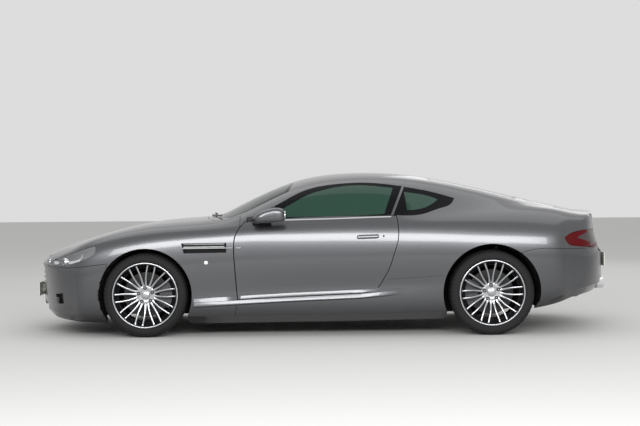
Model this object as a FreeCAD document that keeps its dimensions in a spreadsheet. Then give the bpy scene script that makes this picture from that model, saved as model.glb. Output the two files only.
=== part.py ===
import FreeCAD, Part
import math
import os

import Sketcher
from FreeCAD import Placement, Rotation, Vector

doc = FreeCAD.newDocument("coupe")

# Driving sizes in millimetres and degrees. X runs nose to tail, Y to the car's right, Z up.
SIZES = [
    ("body_length", 4710.0, "nose to tail"),
    ("body_width", 1882.0, "over the rear arches"),
    ("roof_height", 1294.0, "ground to roof crown"),
    ("front_axle_x", -1390.0, "front axle, from mid-length"),
    ("rear_axle_x", 1350.0, "rear axle, from mid-length"),
    ("front_half_track", 784.0, "centre plane to front wheel centre"),
    ("rear_half_track", 781.0, "centre plane to rear wheel centre"),
    ("front_tyre_radius", 333.0, "loaded radius, axle height"),
    ("rear_tyre_radius", 335.0, "loaded radius, axle height"),
    ("front_tyre_width", 235.0, "section width"),
    ("rear_tyre_width", 275.0, "section width"),
    ("front_arch_radius", 370.0, "front wheel opening"),
    ("rear_arch_radius", 386.0, "rear wheel opening"),
    ("wheelhouse_radius", 400.0, "outside of the wheelhouse liners"),
    ("wheelhouse_inner_y", 480.0, "inner wall of the wheelhouses"),
    ("liner_thickness", 8.0, "wheelhouse sheet"),
    ("rim_flange_radius", 259.0, "19 inch rim over the flanges"),
    ("rim_seat_radius", 243.0, "bead seat"),
    ("rim_barrel", 8.0, "barrel thickness"),
    ("spoke_thickness", 15.0, "one of the two thin spokes of a pair"),
    ("spoke_spread", 7.2, "angle between the spokes of a pair"),
    ("hub_radius", 76.0, "wheel hub pad"),
    ("cap_radius", 32.0, "centre cap"),
    ("bolt_circle", 114.3, "wheel bolt pitch circle"),
    ("bolt_bore", 15.0, "wheel bolt hole"),
    ("disc_radius", 178.0, "brake disc"),
    ("disc_thickness", 32.0, "brake disc"),
    ("kingpin_inset", 60.0, "wheel centre plane to steering axis"),
    ("shut_gap", 5.0, "between a moving panel and its frame"),
    ("seat_gap", 0.3, "between pieces seated on each other"),
    ("glass_recess", 2.0, "glass below the body surface"),
    ("glass_thickness", 5.0, "window glass"),
    ("floor_z", 150.0, "underside of the floor"),
    ("floor_thickness", 20.0, "floor"),
    ("seat_y", 370.0, "centre plane to seat centre"),
    ("seat_width", 500.0, "front seat"),
    ("rear_seat_y", 296.0, "centre plane to rear seat centre"),
    ("rear_seat_width", 340.0, "rear seat, between the tunnel and a wheelhouse"),
    ("steering_radius", 185.0, "steering wheel to rim centre line"),
    ("steering_grip", 15.0, "steering wheel rim section radius"),
    ("hinge_lead", 100.0, "door hinge axis ahead of the shut line"),
    ("plate_length", 520.0, "number plate"),
    ("plate_height", 111.0, "number plate"),
]

sheet = doc.addObject("Spreadsheet::Sheet", "Sizes")
for row, (alias, value, meaning) in enumerate(SIZES, start=1):
    sheet.set("A%d" % row, alias)
    sheet.set("B%d" % row, str(value))
    sheet.set("C%d" % row, meaning)
    sheet.setAlias("B%d" % row, alias)
doc.recompute()


def size(alias):
    return float(sheet.get(alias))


# The drawn car is 4710 long, 1882 wide and 1294 high; other overall sizes stretch it.
DRAWN_LENGTH = 4710.0
DRAWN_WIDTH = 1882.0
DRAWN_HEIGHT = 1294.0
STRETCH_X = size("body_length") / DRAWN_LENGTH
STRETCH_Y = size("body_width") / DRAWN_WIDTH
STRETCH_Z = size("roof_height") / DRAWN_HEIGHT

# Lines of control points that run nose to tail along the left half, bottom to crown:
# name, wall thickness inwards, wall thickness downwards, then points (x, y outwards, z).
BODY_LINES = [
    ("bottom_edge", 100.0, 60.0, [
        (-2355, 105, 210), (-2330, 290, 196), (-2290, 560, 190), (-2230, 680, 186),
        (-2100, 780, 180), (-1900, 830, 178), (-1403, 852, 172), (-900, 850, 160),
        (0, 845, 165), (700, 852, 176), (1337, 868, 200), (1600, 862, 240),
        (1900, 832, 292), (2100, 790, 335),
        (2250, 705, 358), (2300, 610, 372), (2330, 480, 380), (2345, 310, 386),
        (2355, 120, 390)]),
    ("sill_low", 112.0, 25.0, [
        (-2355, 108, 232), (-2330, 300, 222), (-2290, 600, 219), (-2230, 735, 217),
        (-2100, 828, 215), (-1900, 868, 210), (-1403, 890, 204), (-900, 886, 194),
        (0, 880, 199), (700, 890, 210), (1337, 908, 236), (1600, 903, 276),
        (1900, 872, 324), (2100, 826, 364),
        (2250, 742, 385), (2300, 650, 398), (2330, 515, 405), (2345, 330, 408),
        (2355, 122, 410)]),
    ("sill_crease", 118.0, 5.0, [
        (-2355, 110, 290), (-2330, 305, 288), (-2290, 620, 287), (-2230, 765, 286),
        (-2100, 852, 285), (-1900, 886, 282), (-1403, 910, 276), (-900, 906, 270),
        (-400, 900, 288), (0, 896, 310), (500, 898, 333), (900, 908, 352),
        (1337, 922, 370), (1600, 918, 390), (1900, 888, 412), (2100, 841, 432),
        (2250, 758, 445), (2300, 680, 452), (2330, 540, 455), (2345, 345, 456),
        (2355, 124, 456)]),
    ("lower_side", 104.0, 0.0, [
        (-2355, 110, 370), (-2330, 308, 358), (-2290, 625, 352), (-2230, 780, 349),
        (-2100, 863, 345), (-1900, 893, 345), (-1403, 914, 345), (-900, 898, 330),
        (-400, 884, 345), (0, 880, 366), (500, 887, 386), (900, 904, 405),
        (1337, 928, 430), (1600, 924, 440), (1900, 894, 455), (2100, 846, 465),
        (2250, 764, 478), (2300, 690, 482), (2330, 555, 484), (2345, 352, 485),
        (2355, 126, 485)]),
    ("mid_side", 112.0, 0.0, [
        (-2355, 110, 470), (-2330, 308, 474), (-2290, 622, 476), (-2230, 780, 478),
        (-2100, 867, 485), (-1900, 898, 502), (-1403, 926, 530), (-900, 912, 520),
        (-400, 903, 520), (0, 901, 530), (500, 907, 542), (900, 922, 555),
        (1337, 940, 570), (1600, 934, 572), (1900, 903, 576), (2100, 856, 580),
        (2250, 774, 579), (2300, 700, 572), (2330, 570, 562), (2345, 362, 548),
        (2355, 130, 535)]),
    ("upper_side", 112.0, 0.0, [
        (-2355, 108, 528), (-2330, 300, 542), (-2290, 605, 560), (-2230, 765, 580),
        (-2100, 850, 612), (-1900, 888, 652), (-1403, 922, 705), (-900, 912, 708),
        (-400, 906, 706), (0, 905, 710), (500, 911, 722), (900, 928, 738),
        (1337, 943, 750), (1600, 936, 752), (1900, 900, 752), (2100, 850, 750),
        (2230, 780, 745), (2262, 750, 735), (2280, 725, 700), (2300, 682, 660),
        (2330, 560, 612), (2345, 352, 588), (2355, 124, 570)]),
    ("shoulder", 98.0, 14.0, [
        (-2355, 98, 545), (-2330, 275, 567), (-2290, 545, 599), (-2230, 690, 634),
        (-2100, 782, 684), (-1900, 832, 738), (-1700, 862, 780), (-1403, 886, 822),
        (-1000, 890, 838), (-600, 888, 840), (0, 882, 846), (500, 882, 862),
        (800, 884, 886), (1000, 883, 904), (1337, 878, 918), (1600, 864, 920),
        (1900, 826, 912), (2100, 782, 900),
        (2230, 722, 890), (2262, 690, 880), (2280, 668, 800), (2300, 628, 725),
        (2330, 520, 645), (2345, 330, 615), (2355, 118, 590)]),
    ("belt", 66.0, 26.0, [
        (-2355, 84, 555), (-2330, 235, 586), (-2290, 465, 620), (-2230, 600, 662),
        (-2100, 692, 716), (-1900, 738, 779), (-1700, 762, 827), (-1403, 780, 868),
        (-1000, 796, 888), (-735, 818, 896), (-500, 832, 902), (0, 832, 914),
        (366, 826, 930), (620, 815, 944), (860, 795, 952), (1060, 770, 966),
        (1337, 735, 986), (1600, 700, 1000), (1780, 674, 1000), (1900, 658, 990),
        (2100, 628, 956),
        (2230, 600, 938), (2262, 578, 936), (2280, 560, 806), (2300, 528, 728),
        (2330, 440, 648), (2345, 290, 622), (2355, 106, 600)]),
    ("glass_mid", 44.0, 14.0, [
        (-2355, 68, 562), (-2330, 188, 597), (-2290, 370, 635), (-2230, 475, 681),
        (-2100, 552, 736), (-1900, 592, 797), (-1700, 612, 845), (-1403, 628, 886),
        (-1000, 655, 908), (-860, 700, 914), (-735, 772, 920), (-600, 788, 950),
        (-480, 776, 985), (-300, 752, 1030), (-100, 736, 1060), (120, 728, 1074),
        (366, 722, 1082), (620, 712, 1082), (860, 692, 1074), (1060, 662, 1066),
        (1337, 618, 1054), (1600, 576, 1034), (1780, 552, 1012), (1900, 542, 998),
        (2100, 522, 963),
        (2230, 498, 948), (2262, 478, 948), (2280, 465, 812), (2300, 440, 732),
        (2330, 370, 650), (2345, 245, 624), (2355, 92, 605)]),
    ("cant_rail", 38.0, 24.0, [
        (-2355, 50, 568), (-2330, 138, 606), (-2290, 268, 647), (-2230, 344, 695),
        (-2100, 402, 747), (-1900, 432, 806), (-1700, 444, 853), (-1403, 455, 894),
        (-1000, 490, 918), (-860, 570, 926), (-735, 680, 938), (-600, 694, 988),
        (-480, 682, 1045), (-300, 652, 1130), (-100, 620, 1196), (120, 602, 1228),
        (366, 592, 1242), (620, 582, 1236), (860, 562, 1210), (1060, 537, 1176),
        (1337, 500, 1120), (1600, 466, 1066), (1780, 447, 1032), (1900, 437, 1010),
        (2100, 422, 970),
        (2230, 406, 956), (2262, 388, 957), (2280, 378, 818), (2300, 358, 736),
        (2330, 300, 652), (2345, 200, 626), (2355, 72, 608)]),
    ("roof_side", 14.0, 33.0, [
        (-2355, 25, 572), (-2330, 70, 611), (-2290, 138, 654), (-2230, 176, 702),
        (-2100, 205, 753), (-1900, 220, 812), (-1700, 226, 858), (-1403, 232, 899),
        (-1000, 262, 925), (-860, 320, 934), (-735, 360, 985), (-600, 372, 1052),
        (-345, 360, 1168), (-100, 336, 1242), (120, 325, 1272), (366, 320, 1283),
        (620, 312, 1277), (860, 300, 1250), (1060, 285, 1213), (1337, 262, 1152),
        (1600, 240, 1089), (1780, 228, 1045), (1900, 222, 1020), (2100, 214, 974),
        (2230, 206, 961), (2262, 196, 962), (2280, 190, 822), (2300, 180, 738),
        (2330, 152, 653), (2345, 102, 627), (2355, 36, 610)]),
    ("crown", 0.0, 35.0, [
        (-2355, 0, 575), (-2330, 0, 613), (-2290, 0, 657), (-2230, 0, 705),
        (-2100, 0, 756), (-1900, 0, 814), (-1700, 0, 859), (-1403, 0, 901),
        (-1000, 0, 928), (-870, 0, 936), (-760, 0, 990), (-617, 0, 1064),
        (-345, 0, 1186), (-209, 0, 1235), (-73, 0, 1266), (130, 0, 1291),
        (335, 0, 1298), (540, 0, 1293), (743, 0, 1276), (1014, 0, 1228),
        (1286, 0, 1166), (1558, 0, 1100), (1830, 0, 1035), (2034, 0, 988),
        (2170, 0, 963),
        (2230, 0, 963), (2262, 0, 964), (2280, 0, 824), (2300, 0, 740),
        (2330, 0, 654), (2345, 0, 628), (2355, 0, 610)]),
]
STATIONS = [
    -2355, -2345, -2322, -2285, -2230, -2140, -2000, -1820, -1610, -1403, -1200, -1020,
    -900, -800, -700, -580, -430, -260, -80, 120, 366, 620, 860, 1060, 1240, 1400, 1560,
    1720, 1880, 2020, 2130, 2200, 2240, 2260, 2268, 2280, 2302, 2328, 2345, 2355]
# Share of the wall thickness that the lower body keeps at a station x.
WALL_SHARE = [(-2400, 0.40), (-1000, 0.40), (-820, 1.0), (1150, 1.0), (1500, 0.55),
              (2400, 0.45)]
LOWER_LINES = 8
END_WALL = 50.0
# Both ends are swept back in plan beyond SWEEP_FROM, and the nose leans back downwards.
SWEEP = 150.0
SWEEP_CLEAR = 130.0
SWEEP_WIDTH = 600.0
SWEEP_FROM = 1850.0
SWEEP_RUN = 400.0
LEAN = 30.0
LEAN_TOP = 575.0
LEAN_HEIGHT = 375.0

# Outlines of the openings and panels on the left half. Each point is (first, second, end),
# where end is True at a corner and False where the line runs on smoothly.
SIDE_OUTLINES = {
    "door": [
        (-600, 905, True), (-664, 820, False), (-684, 716, False), (-679, 578, False),
        (-667, 417, False), (-657, 297, True), (299, 340, True), (431, 370, False),
        (491, 449, False), (539, 538, False), (575, 647, False), (605, 743, False),
        (611, 863, False), (600, 946, True), (-265, 932, False)],
    "door_glass": [
        (-590, 912, True), (-470, 974, False), (-325, 1048, False), (-123, 1149, False),
        (122, 1197, False), (370, 1207, False), (654, 1178, True), (556, 952, True),
        (-265, 935, False)],
    "quarter_glass": [
        (674, 1174, True), (790, 1155, False), (910, 1129, False), (1078, 1080, True),
        (1050, 1040, False), (955, 1002, False), (820, 960, False), (578, 952, True)],
    "front_bumper": [
        (-2500, 60, True), (-1690, 60, True), (-1690, 585, True), (-2010, 549, True),
        (-2225, 553, True), (-2225, 800, True), (-2500, 800, True)],
    "rear_bumper": [
        (2600, 60, True), (1560, 60, True), (1560, 640, True), (1620, 662, False),
        (1956, 675, False), (2100, 673, True), (2400, 672, True), (2600, 672, True)],
    "front_wing": [
        (-2300, 100, True), (-689, 100, True), (-662, 297, True), (-672, 417, False),
        (-684, 578, False), (-689, 716, False), (-669, 820, False), (-640, 866, True),
        (-640, 1000, True), (-2300, 1000, True)],
    "headlamp": [
        (-2208, 580, True), (-2140, 607, False), (-2065, 637, False), (-1987, 664, False),
        (-1890, 695, False), (-1782, 728, True), (-1776, 694, False), (-1795, 654, False),
        (-1829, 632, False), (-1887, 611, False), (-1959, 588, False), (-2049, 568, False),
        (-2140, 564, False)],
    "tail_lamp": [
        (1930, 763, True), (1975, 790, False), (2029, 807, False), (2100, 817, False),
        (2172, 822, True), (2420, 832, True), (2420, 690, True), (2172, 686, True),
        (2090, 688, False), (2027, 695, False), (1965, 712, False)],
    "wing_vent": [
        (-1099, 742, True), (-746, 744, True), (-746, 668, True), (-1080, 664, True)],
    "strake": [
        (-1094, 703, True), (-748, 705, True), (-748, 698, True), (-1094, 696, True)],
}
PLAN_OUTLINES = {
    "bonnet": [
        (-2262, 0, False), (-2252, 240, False), (-2222, 400, False), (-2160, 490, False),
        (-2050, 548, False), (-1900, 590, False), (-1650, 636, False), (-1390, 664, False),
        (-1100, 690, False), (-850, 705, True), (-893, 560, False), (-935, 300, False),
        (-948, 0, False)],
    "cowl": [
        (-2262, 0, True), (-2255, 235, False), (-2227, 395, False), (-2165, 484, False),
        (-2050, 542, False), (-1900, 584, False), (-1650, 630, False), (-1390, 658, False),
        (-1100, 684, False), (-850, 699, True), (-600, 760, True), (-600, 0, True)],
    "boot_lid": [
        (1695, 0, False), (1700, 250, False), (1715, 480, False), (1760, 526, False),
        (1900, 520, False), (2100, 508, False), (2190, 502, False), (2420, 486, True),
        (2420, 0, True)],
    "windscreen": [
        (-872, 0, False), (-860, 300, False), (-812, 560, False), (-726, 698, True),
        (-600, 688, False), (-430, 650, False), (-258, 590, True), (-232, 420, False),
        (-215, 200, False), (-210, 0, False)],
    "rear_window": [
        (862, 0, False), (868, 200, False), (890, 420, True), (1100, 452, False),
        (1340, 468, False), (1590, 470, True), (1635, 250, False), (1648, 0, False)],
}
BOOT_LID_LOW = 826.0
LAMP_INNER_Y = 500.0
SLIVER = 5000.0


def along(points, x, column):
    """Height or width of a control line at x: a smooth curve that never overshoots."""
    if x <= points[0][0]:
        return points[0][column]
    if x >= points[-1][0]:
        return points[-1][column]
    steps = [b[0] - a[0] for a, b in zip(points, points[1:])]
    slopes = [(b[column] - a[column]) / h for a, b, h in zip(points, points[1:], steps)]

    def tangent(i):
        if i == 0:
            return slopes[0]
        if i == len(slopes):
            return slopes[-1]
        if slopes[i - 1] * slopes[i] <= 0.0:
            return 0.0
        before = 2.0 * steps[i] + steps[i - 1]
        after = steps[i] + 2.0 * steps[i - 1]
        return (before + after) / (before / slopes[i - 1] + after / slopes[i])

    i = max(k for k in range(len(steps)) if points[k][0] <= x)
    step = steps[i]
    u = (x - points[i][0]) / step
    return ((1 + 2 * u) * (1 - u) ** 2 * points[i][column]
            + u * (1 - u) ** 2 * step * tangent(i)
            + u * u * (3 - 2 * u) * points[i + 1][column]
            + u * u * (u - 1) * step * tangent(i + 1))


def wall_share(x):
    for (x0, share0), (x1, share1) in zip(WALL_SHARE, WALL_SHARE[1:]):
        if x <= x1:
            return share0 + (share1 - share0) * (x - x0) / (x1 - x0)
    return WALL_SHARE[-1][1]


def swept(x, y, z):
    """Where the control point of station x with half width y and height z stands lengthwise."""
    t = min(max((abs(x) - SWEEP_FROM) / SWEEP_RUN, 0.0), 1.0)
    ramp = t * t * (3.0 - 2.0 * t)
    back = SWEEP * ramp * (max(y - SWEEP_CLEAR, 0.0) / SWEEP_WIDTH) ** 2
    if x < 0:
        back += LEAN * ramp * max(LEAN_TOP - z, 0.0) / LEAN_HEIGHT
    return x - math.copysign(back, x)


def both_halves(x, half):
    """One row of control points from the left bottom over the crown to the right bottom."""
    left = [Vector(swept(x, y, z) * STRETCH_X, -y * STRETCH_Y, z * STRETCH_Z) for y, z in half]
    right = [Vector(point.x, -point.y, point.z) for point in left[:-1]]
    return left + right[::-1]


def outer_rows():
    return [both_halves(x, [(along(line[3], x, 1), along(line[3], x, 2)) for line in BODY_LINES])
            for x in STATIONS]


def inner_rows(extra):
    """The body's inside face; extra moves it further in."""
    reach = (STATIONS[-1] - END_WALL - extra) / STATIONS[-1]
    rows = []
    for x in STATIONS:
        half = []
        for k, (name, inwards, downwards, points) in enumerate(BODY_LINES):
            share = wall_share(x) if k < LOWER_LINES else 1.0
            y = along(points, x, 1)
            z = along(points, x, 2)
            more = extra if name != "crown" else 0.0
            half.append((max(y - inwards * share - more, 0.5 * y), z - downwards - extra))
        rows.append(both_halves(x * reach, half))
    return rows


def moved_rows(rows, depth):
    """Control points moved into the body by depth along the surface's own normals."""
    last_row = len(rows) - 1
    last_column = len(rows[0]) - 1
    result = []
    for i, row in enumerate(rows):
        moved = []
        for j, point in enumerate(row):
            lengthwise = rows[min(i + 1, last_row)][j] - rows[max(i - 1, 0)][j]
            across = row[min(j + 1, last_column)] - row[max(j - 1, 0)]
            outwards = lengthwise.cross(across)
            outwards.normalize()
            shifted = point - outwards * depth
            if i in (0, last_row):
                shifted = point - Vector(math.copysign(depth, point.x), 0, 0)
            moved.append(shifted)
        result.append(moved)
    return result


def even_knots(count, degree=3):
    spans = count - degree
    knots = [i / float(spans) for i in range(spans + 1)]
    return knots, [degree + 1] + [1] * (spans - 1) + [degree + 1]


def closed_body(rows):
    """The solid between a net of control points and the ruled face under it."""
    knots_u, mults_u = even_knots(len(rows))
    knots_v, mults_v = even_knots(len(rows[0]))
    surface = Part.BSplineSurface()
    surface.buildFromPolesMultsKnots(rows, mults_u, mults_v, knots_u, knots_v, False, False, 3, 3)
    faces = [surface.toShape(),
             Part.makeRuledSurface(surface.vIso(0.0).toShape(), surface.vIso(1.0).toShape())]
    for u, row in ((0.0, rows[0]), (1.0, rows[-1])):
        rim = surface.uIso(u).toShape()
        chord = Part.LineSegment(row[0], row[-1]).toShape()
        faces.append(Part.Face(Part.Wire([rim, chord])))
    shell = Part.Shell(faces)
    shell.sewShape()
    solid = Part.Solid(shell)
    if solid.Volume < 0:
        solid.reverse()
    return solid


def wire_of(points, place):
    """A closed wire through outline points: straight between corners, smooth elsewhere."""
    corners = [k for k, point in enumerate(points) if point[2]]
    turned = points[corners[0]:] + points[:corners[0]] + [points[corners[0]]]
    edges = []
    run = [turned[0]]
    for point in turned[1:]:
        run.append(point)
        if point[2]:
            nodes = [place(p[0], p[1]) for p in run]
            if len(nodes) == 2:
                edges.append(Part.LineSegment(nodes[0], nodes[1]).toShape())
            else:
                curve = Part.BSplineCurve()
                curve.interpolate(nodes)
                edges.append(curve.toShape())
            run = [point]
    return Part.Wire(edges)


def face_of(wire, grow):
    """The face inside a wire that is moved outwards by grow, redrawn with plain curves."""
    if not grow:
        return Part.Face(wire)
    edges = []
    for edge in wire.makeOffset2D(grow).OrderedEdges:
        if isinstance(edge.Curve, (Part.Line, Part.Circle)):
            edges.append(edge)
        else:
            curve = Part.BSplineCurve()
            curve.interpolate(edge.discretize(Number=24))
            edges.append(curve.toShape())
    return Part.Face(Part.Wire(edges))


def side_prism(name, grow=0.0, inner=400.0, outer=1100.0):
    """Left-hand prism across the car through a side outline."""
    wire = wire_of(SIDE_OUTLINES[name],
                   lambda x, z: Vector(x * STRETCH_X, -outer, z * STRETCH_Z))
    return face_of(wire, grow).extrude(Vector(0, outer - inner, 0))


def full_plan(points):
    """The outline given for one half, completed by its mirror image."""
    return points + [(x, -y, end) for x, y, end in reversed(points) if y != 0]


def plan_prism(name, grow=0.0, low=0.0, high=1500.0):
    """Vertical prism through a plan outline, both halves."""
    wire = wire_of(full_plan(PLAN_OUTLINES[name]),
                   lambda x, y: Vector(x * STRETCH_X, -y * STRETCH_Y, low))
    return face_of(wire, grow).extrude(Vector(0, 0, high - low))


def upright(points, z0, z1):
    """Vertical prism over a plan polygon."""
    loop = [Vector(x, y, z0) for x, y in points]
    return Part.Face(Part.makePolygon(loop + [loop[0]])).extrude(Vector(0, 0, z1 - z0))


def mirrored(shape):
    return shape.mirror(Vector(0, 0, 0), Vector(0, 1, 0))


def pair(shape):
    return [shape, mirrored(shape)]


def joined(shapes):
    """The solids of several shapes as one, without the slivers that cuts leave at corners."""
    solids = [s for shape in shapes for s in shape.Solids if s.Volume > SLIVER]
    return solids[0] if len(solids) == 1 else Part.makeCompound(solids)


def box(x0, x1, y0, y1, z0, z1):
    return Part.makeBox(x1 - x0, y1 - y0, z1 - z0, Vector(x0, y0, z0))


def add_shape(name, shape, place=Placement()):
    node = doc.addObject("Part::Feature", name)
    node.Label = name
    node.Shape = shape
    node.Placement = place
    return node


nodes = []


def keep(node):
    nodes.append(node)
    return node


gap = size("shut_gap")
seat = size("seat_gap")
recess = size("glass_recess")
glass = size("glass_thickness")

skin_rows = outer_rows()
skin = closed_body(skin_rows)
wall = skin.cut(closed_body(inner_rows(0.0)))
room = closed_body(inner_rows(1.5))
pane_outside = closed_body(moved_rows(skin_rows, recess))
pane_inside = closed_body(moved_rows(skin_rows, recess + glass))



def pane(prism):
    return prism.common(pane_outside).cut(pane_inside)


axles = [("front", size("front_axle_x"), size("front_tyre_radius"), size("front_arch_radius"),
          size("front_half_track"), size("front_tyre_width")),
         ("rear", size("rear_axle_x"), size("rear_tyre_radius"), size("rear_arch_radius"),
          size("rear_half_track"), size("rear_tyre_width"))]
inner_y = size("wheelhouse_inner_y")
arch_cuts = []
for end, axle_x, height, arch, track, width in axles:
    drum = Part.makeCylinder(arch, 700.0, Vector(axle_x, -inner_y - 700.0, height),
                             Vector(0, 1, 0))
    arch_cuts.extend(pair(drum))

rest = wall.cut(arch_cuts)

door = {}
door["left"] = rest.common(side_prism("door"))
rest = rest.cut(pair(side_prism("door", gap)))
bonnet = rest.common(plan_prism("bonnet", 0.0, 560.0))
rest = rest.cut(plan_prism("bonnet", gap, 560.0))
boot_lid = rest.common(plan_prism("boot_lid", 0.0, BOOT_LID_LOW))
rest = rest.cut(plan_prism("boot_lid", gap, BOOT_LID_LOW - gap))
windscreen = pane(plan_prism("windscreen", 0.0, 850.0))
rear_window = pane(plan_prism("rear_window", 0.0, 850.0))
quarter = pane(side_prism("quarter_glass"))
door_pane = pane(side_prism("door_glass"))
rest = rest.cut([plan_prism("windscreen", seat, 850.0), plan_prism("rear_window", seat, 850.0)]
                + pair(side_prism("quarter_glass", seat)) + pair(side_prism("door_glass", gap)))
door["left"] = door["left"].cut(side_prism("door_glass", seat))
door["right"] = mirrored(door["left"])
headlamp = rest.common(side_prism("headlamp"))
tail_lamp = rest.common(side_prism("tail_lamp", 0.0, LAMP_INNER_Y))
rest = rest.cut(pair(side_prism("headlamp", seat))
                + pair(side_prism("tail_lamp", seat, LAMP_INNER_Y - seat)))
front_cut = side_prism("front_bumper", 0.0, -1100.0)
rear_cut = side_prism("rear_bumper", 0.0, -1100.0)
front_bumper = rest.common(front_cut)
rear_bumper = rest.common(rear_cut)
rest = rest.cut([side_prism("front_bumper", seat, -1100.0),
                 side_prism("rear_bumper", seat, -1100.0)])
wing_zone = side_prism("front_wing", 0.0, 300.0).cut(plan_prism("cowl", seat, 560.0))
wing = rest.common(wing_zone).cut(side_prism("wing_vent", seat))
rest = rest.cut(pair(side_prism("front_wing", seat, 300.0).cut(plan_prism("cowl", 0.0, 560.0))))

GRILLE = [(0, 582), (180, 578), (330, 560), (404, 522), (404, 440), (350, 335), (290, 302),
          (0, 298)]
GRILLE_PLAN = [(-2322, 0), (-2320, 110), (-2300, 220), (-2270, 330), (-2233, 412)]
GRILLE_THICKNESS = 12.0
EXHAUST_Y = 400.0
EXHAUST_Z = 372.0
EXHAUST_RADIUS = 42.0
EXHAUST_PLAY = 12.0


def front_prism(points, grow, x0, x1):
    full = points + [(-y, z) for y, z in reversed(points) if y]
    loop = [Vector(x0, y * STRETCH_Y, z * STRETCH_Z) for y, z in full]
    wire = Part.makePolygon(loop + [loop[0]])
    return face_of(wire, grow).extrude(Vector(x1 - x0, 0, 0))


front_bumper = front_bumper.cut(front_prism(GRILLE, 0.0, -2500.0, -2150.0))
outside = [(x, -y) for x, y in reversed(GRILLE_PLAN) if y] + GRILLE_PLAN
strip = outside + [(x + GRILLE_THICKNESS, y) for x, y in reversed(outside)]
grille = upright(strip, 290.0, 590.0).common(front_prism(GRILLE, -seat, -2500.0, -2150.0))
rear_bumper = rear_bumper.cut(
    pair(Part.makeCylinder(EXHAUST_RADIUS + EXHAUST_PLAY, 260.0,
                           Vector(2160.0, -EXHAUST_Y, EXHAUST_Z), Vector(1, 0, 0))))

keep(add_shape("body_shell", joined([rest])))
keep(add_shape("front_bumper", joined([front_bumper])))
keep(add_shape("rear_bumper", joined([rear_bumper])))
keep(add_shape("front_wing_left", joined([wing])))
keep(add_shape("front_wing_right", joined([mirrored(wing)])))
keep(add_shape("bonnet", joined([bonnet])))
keep(add_shape("boot_lid", joined([boot_lid])))
keep(add_shape("door_left", joined([door["left"]])))
keep(add_shape("door_right", joined([door["right"]])))
keep(add_shape("door_glass_left", joined([door_pane])))
keep(add_shape("door_glass_right", joined([mirrored(door_pane)])))
keep(add_shape("windscreen", joined([windscreen])))
keep(add_shape("rear_window", joined([rear_window])))
keep(add_shape("quarter_windows", joined(pair(quarter))))
keep(add_shape("headlamps", joined(pair(headlamp))))
keep(add_shape("tail_lamps", joined(pair(tail_lamp))))
keep(add_shape("grille", joined([grille])))


# Running gear. A wheel body's local Z runs outboard from the wheel's centre plane.
def term(spec):
    """Value and expression of a length: a number, or (alias, factor, added amount)."""
    if isinstance(spec, tuple):
        alias, factor, more = spec
        sign = "-" if more < 0 else "+"
        text = "Sizes.%s * %s %s %s" % (alias, factor, sign, abs(more))
        return size(alias) * factor + more, text
    return float(spec), None


def origin_part(body, role):
    return [f for f in body.Origin.OriginFeatures if f.Role == role][0]


def new_body(name, place):
    body = doc.addObject("PartDesign::Body", name)
    body.Label = name
    body.Placement = place
    return body


def profile(body, name, corners, turn=0.0):
    """Closed sketch on the body's own XZ plane, its corners given as (radius, height)."""
    sketch = body.newObject("Sketcher::SketchObject", body.Name + "_" + name)
    sketch.AttachmentSupport = [(origin_part(body, "XZ_Plane"), "")]
    sketch.MapMode = "FlatFace"
    sketch.AttachmentOffset = Placement(Vector(), Rotation(Vector(0, 1, 0), turn))
    terms = [(term(u), term(v)) for u, v in corners]
    count = len(terms)
    for k in range(count):
        start = terms[k]
        stop = terms[(k + 1) % count]
        sketch.addGeometry(Part.LineSegment(Vector(start[0][0], start[1][0], 0),
                                            Vector(stop[0][0], stop[1][0], 0)), False)
    for k in range(count):
        sketch.addConstraint(Sketcher.Constraint("Coincident", k, 2, (k + 1) % count, 1))
    for k, pair_of_terms in enumerate(terms):
        for kind, (value, text) in zip(("DistanceX", "DistanceY"), pair_of_terms):
            index = sketch.addConstraint(Sketcher.Constraint(kind, -1, 1, k, 1, value))
            if text:
                label = "%s_%d" % (kind[-1].lower(), k)
                sketch.renameConstraint(index, label)
                sketch.setExpression("Constraints." + label, text)
    return sketch


def turned(body, name, corners):
    sketch = profile(body, name, corners)
    solid = body.newObject("PartDesign::Revolution", body.Name + "_" + name + "_ring")
    solid.Profile = (sketch, [""])
    solid.ReferenceAxis = (sketch, ["V_Axis"])
    solid.Angle = 360.0
    return solid


def patterned(body, name, originals, count):
    pattern = body.newObject("PartDesign::PolarPattern", body.Name + "_" + name)
    pattern.Originals = originals
    pattern.Axis = (origin_part(body, "Z_Axis"), [""])
    pattern.Angle = 360.0
    pattern.Occurrences = count
    body.Tip = pattern
    return pattern


def rim_corners(width):
    """Barrel section: outer face from the outboard flange to the inboard one, then back."""
    flange = "rim_flange_radius"
    bead = "rim_seat_radius"
    return [
        ((flange, 1, 0), (width, 0.5, -6)), ((flange, 1, 0), (width, 0.5, -11)),
        ((bead, 1, 0), (width, 0.5, -14)), ((bead, 1, 0), (width, 0.5, -40)),
        ((bead, 1, -20), (width, 0.5, -58)), ((bead, 1, -20), (width, -0.5, 66)),
        ((bead, 1, 0), (width, -0.5, 48)), ((bead, 1, 0), (width, -0.5, 14)),
        ((flange, 1, 0), (width, -0.5, 11)), ((flange, 1, 0), (width, -0.5, 6)),
        ((bead, 1, -8), (width, -0.5, 6)), ((bead, 1, -8), (width, -0.5, 50)),
        ((bead, 1, -28), (width, -0.5, 68)), ((bead, 1, -28), (width, 0.5, -60)),
        ((bead, 1, -10), (width, 0.5, -42)), ((bead, 1, -8), (width, 0.5, -6))]


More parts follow.
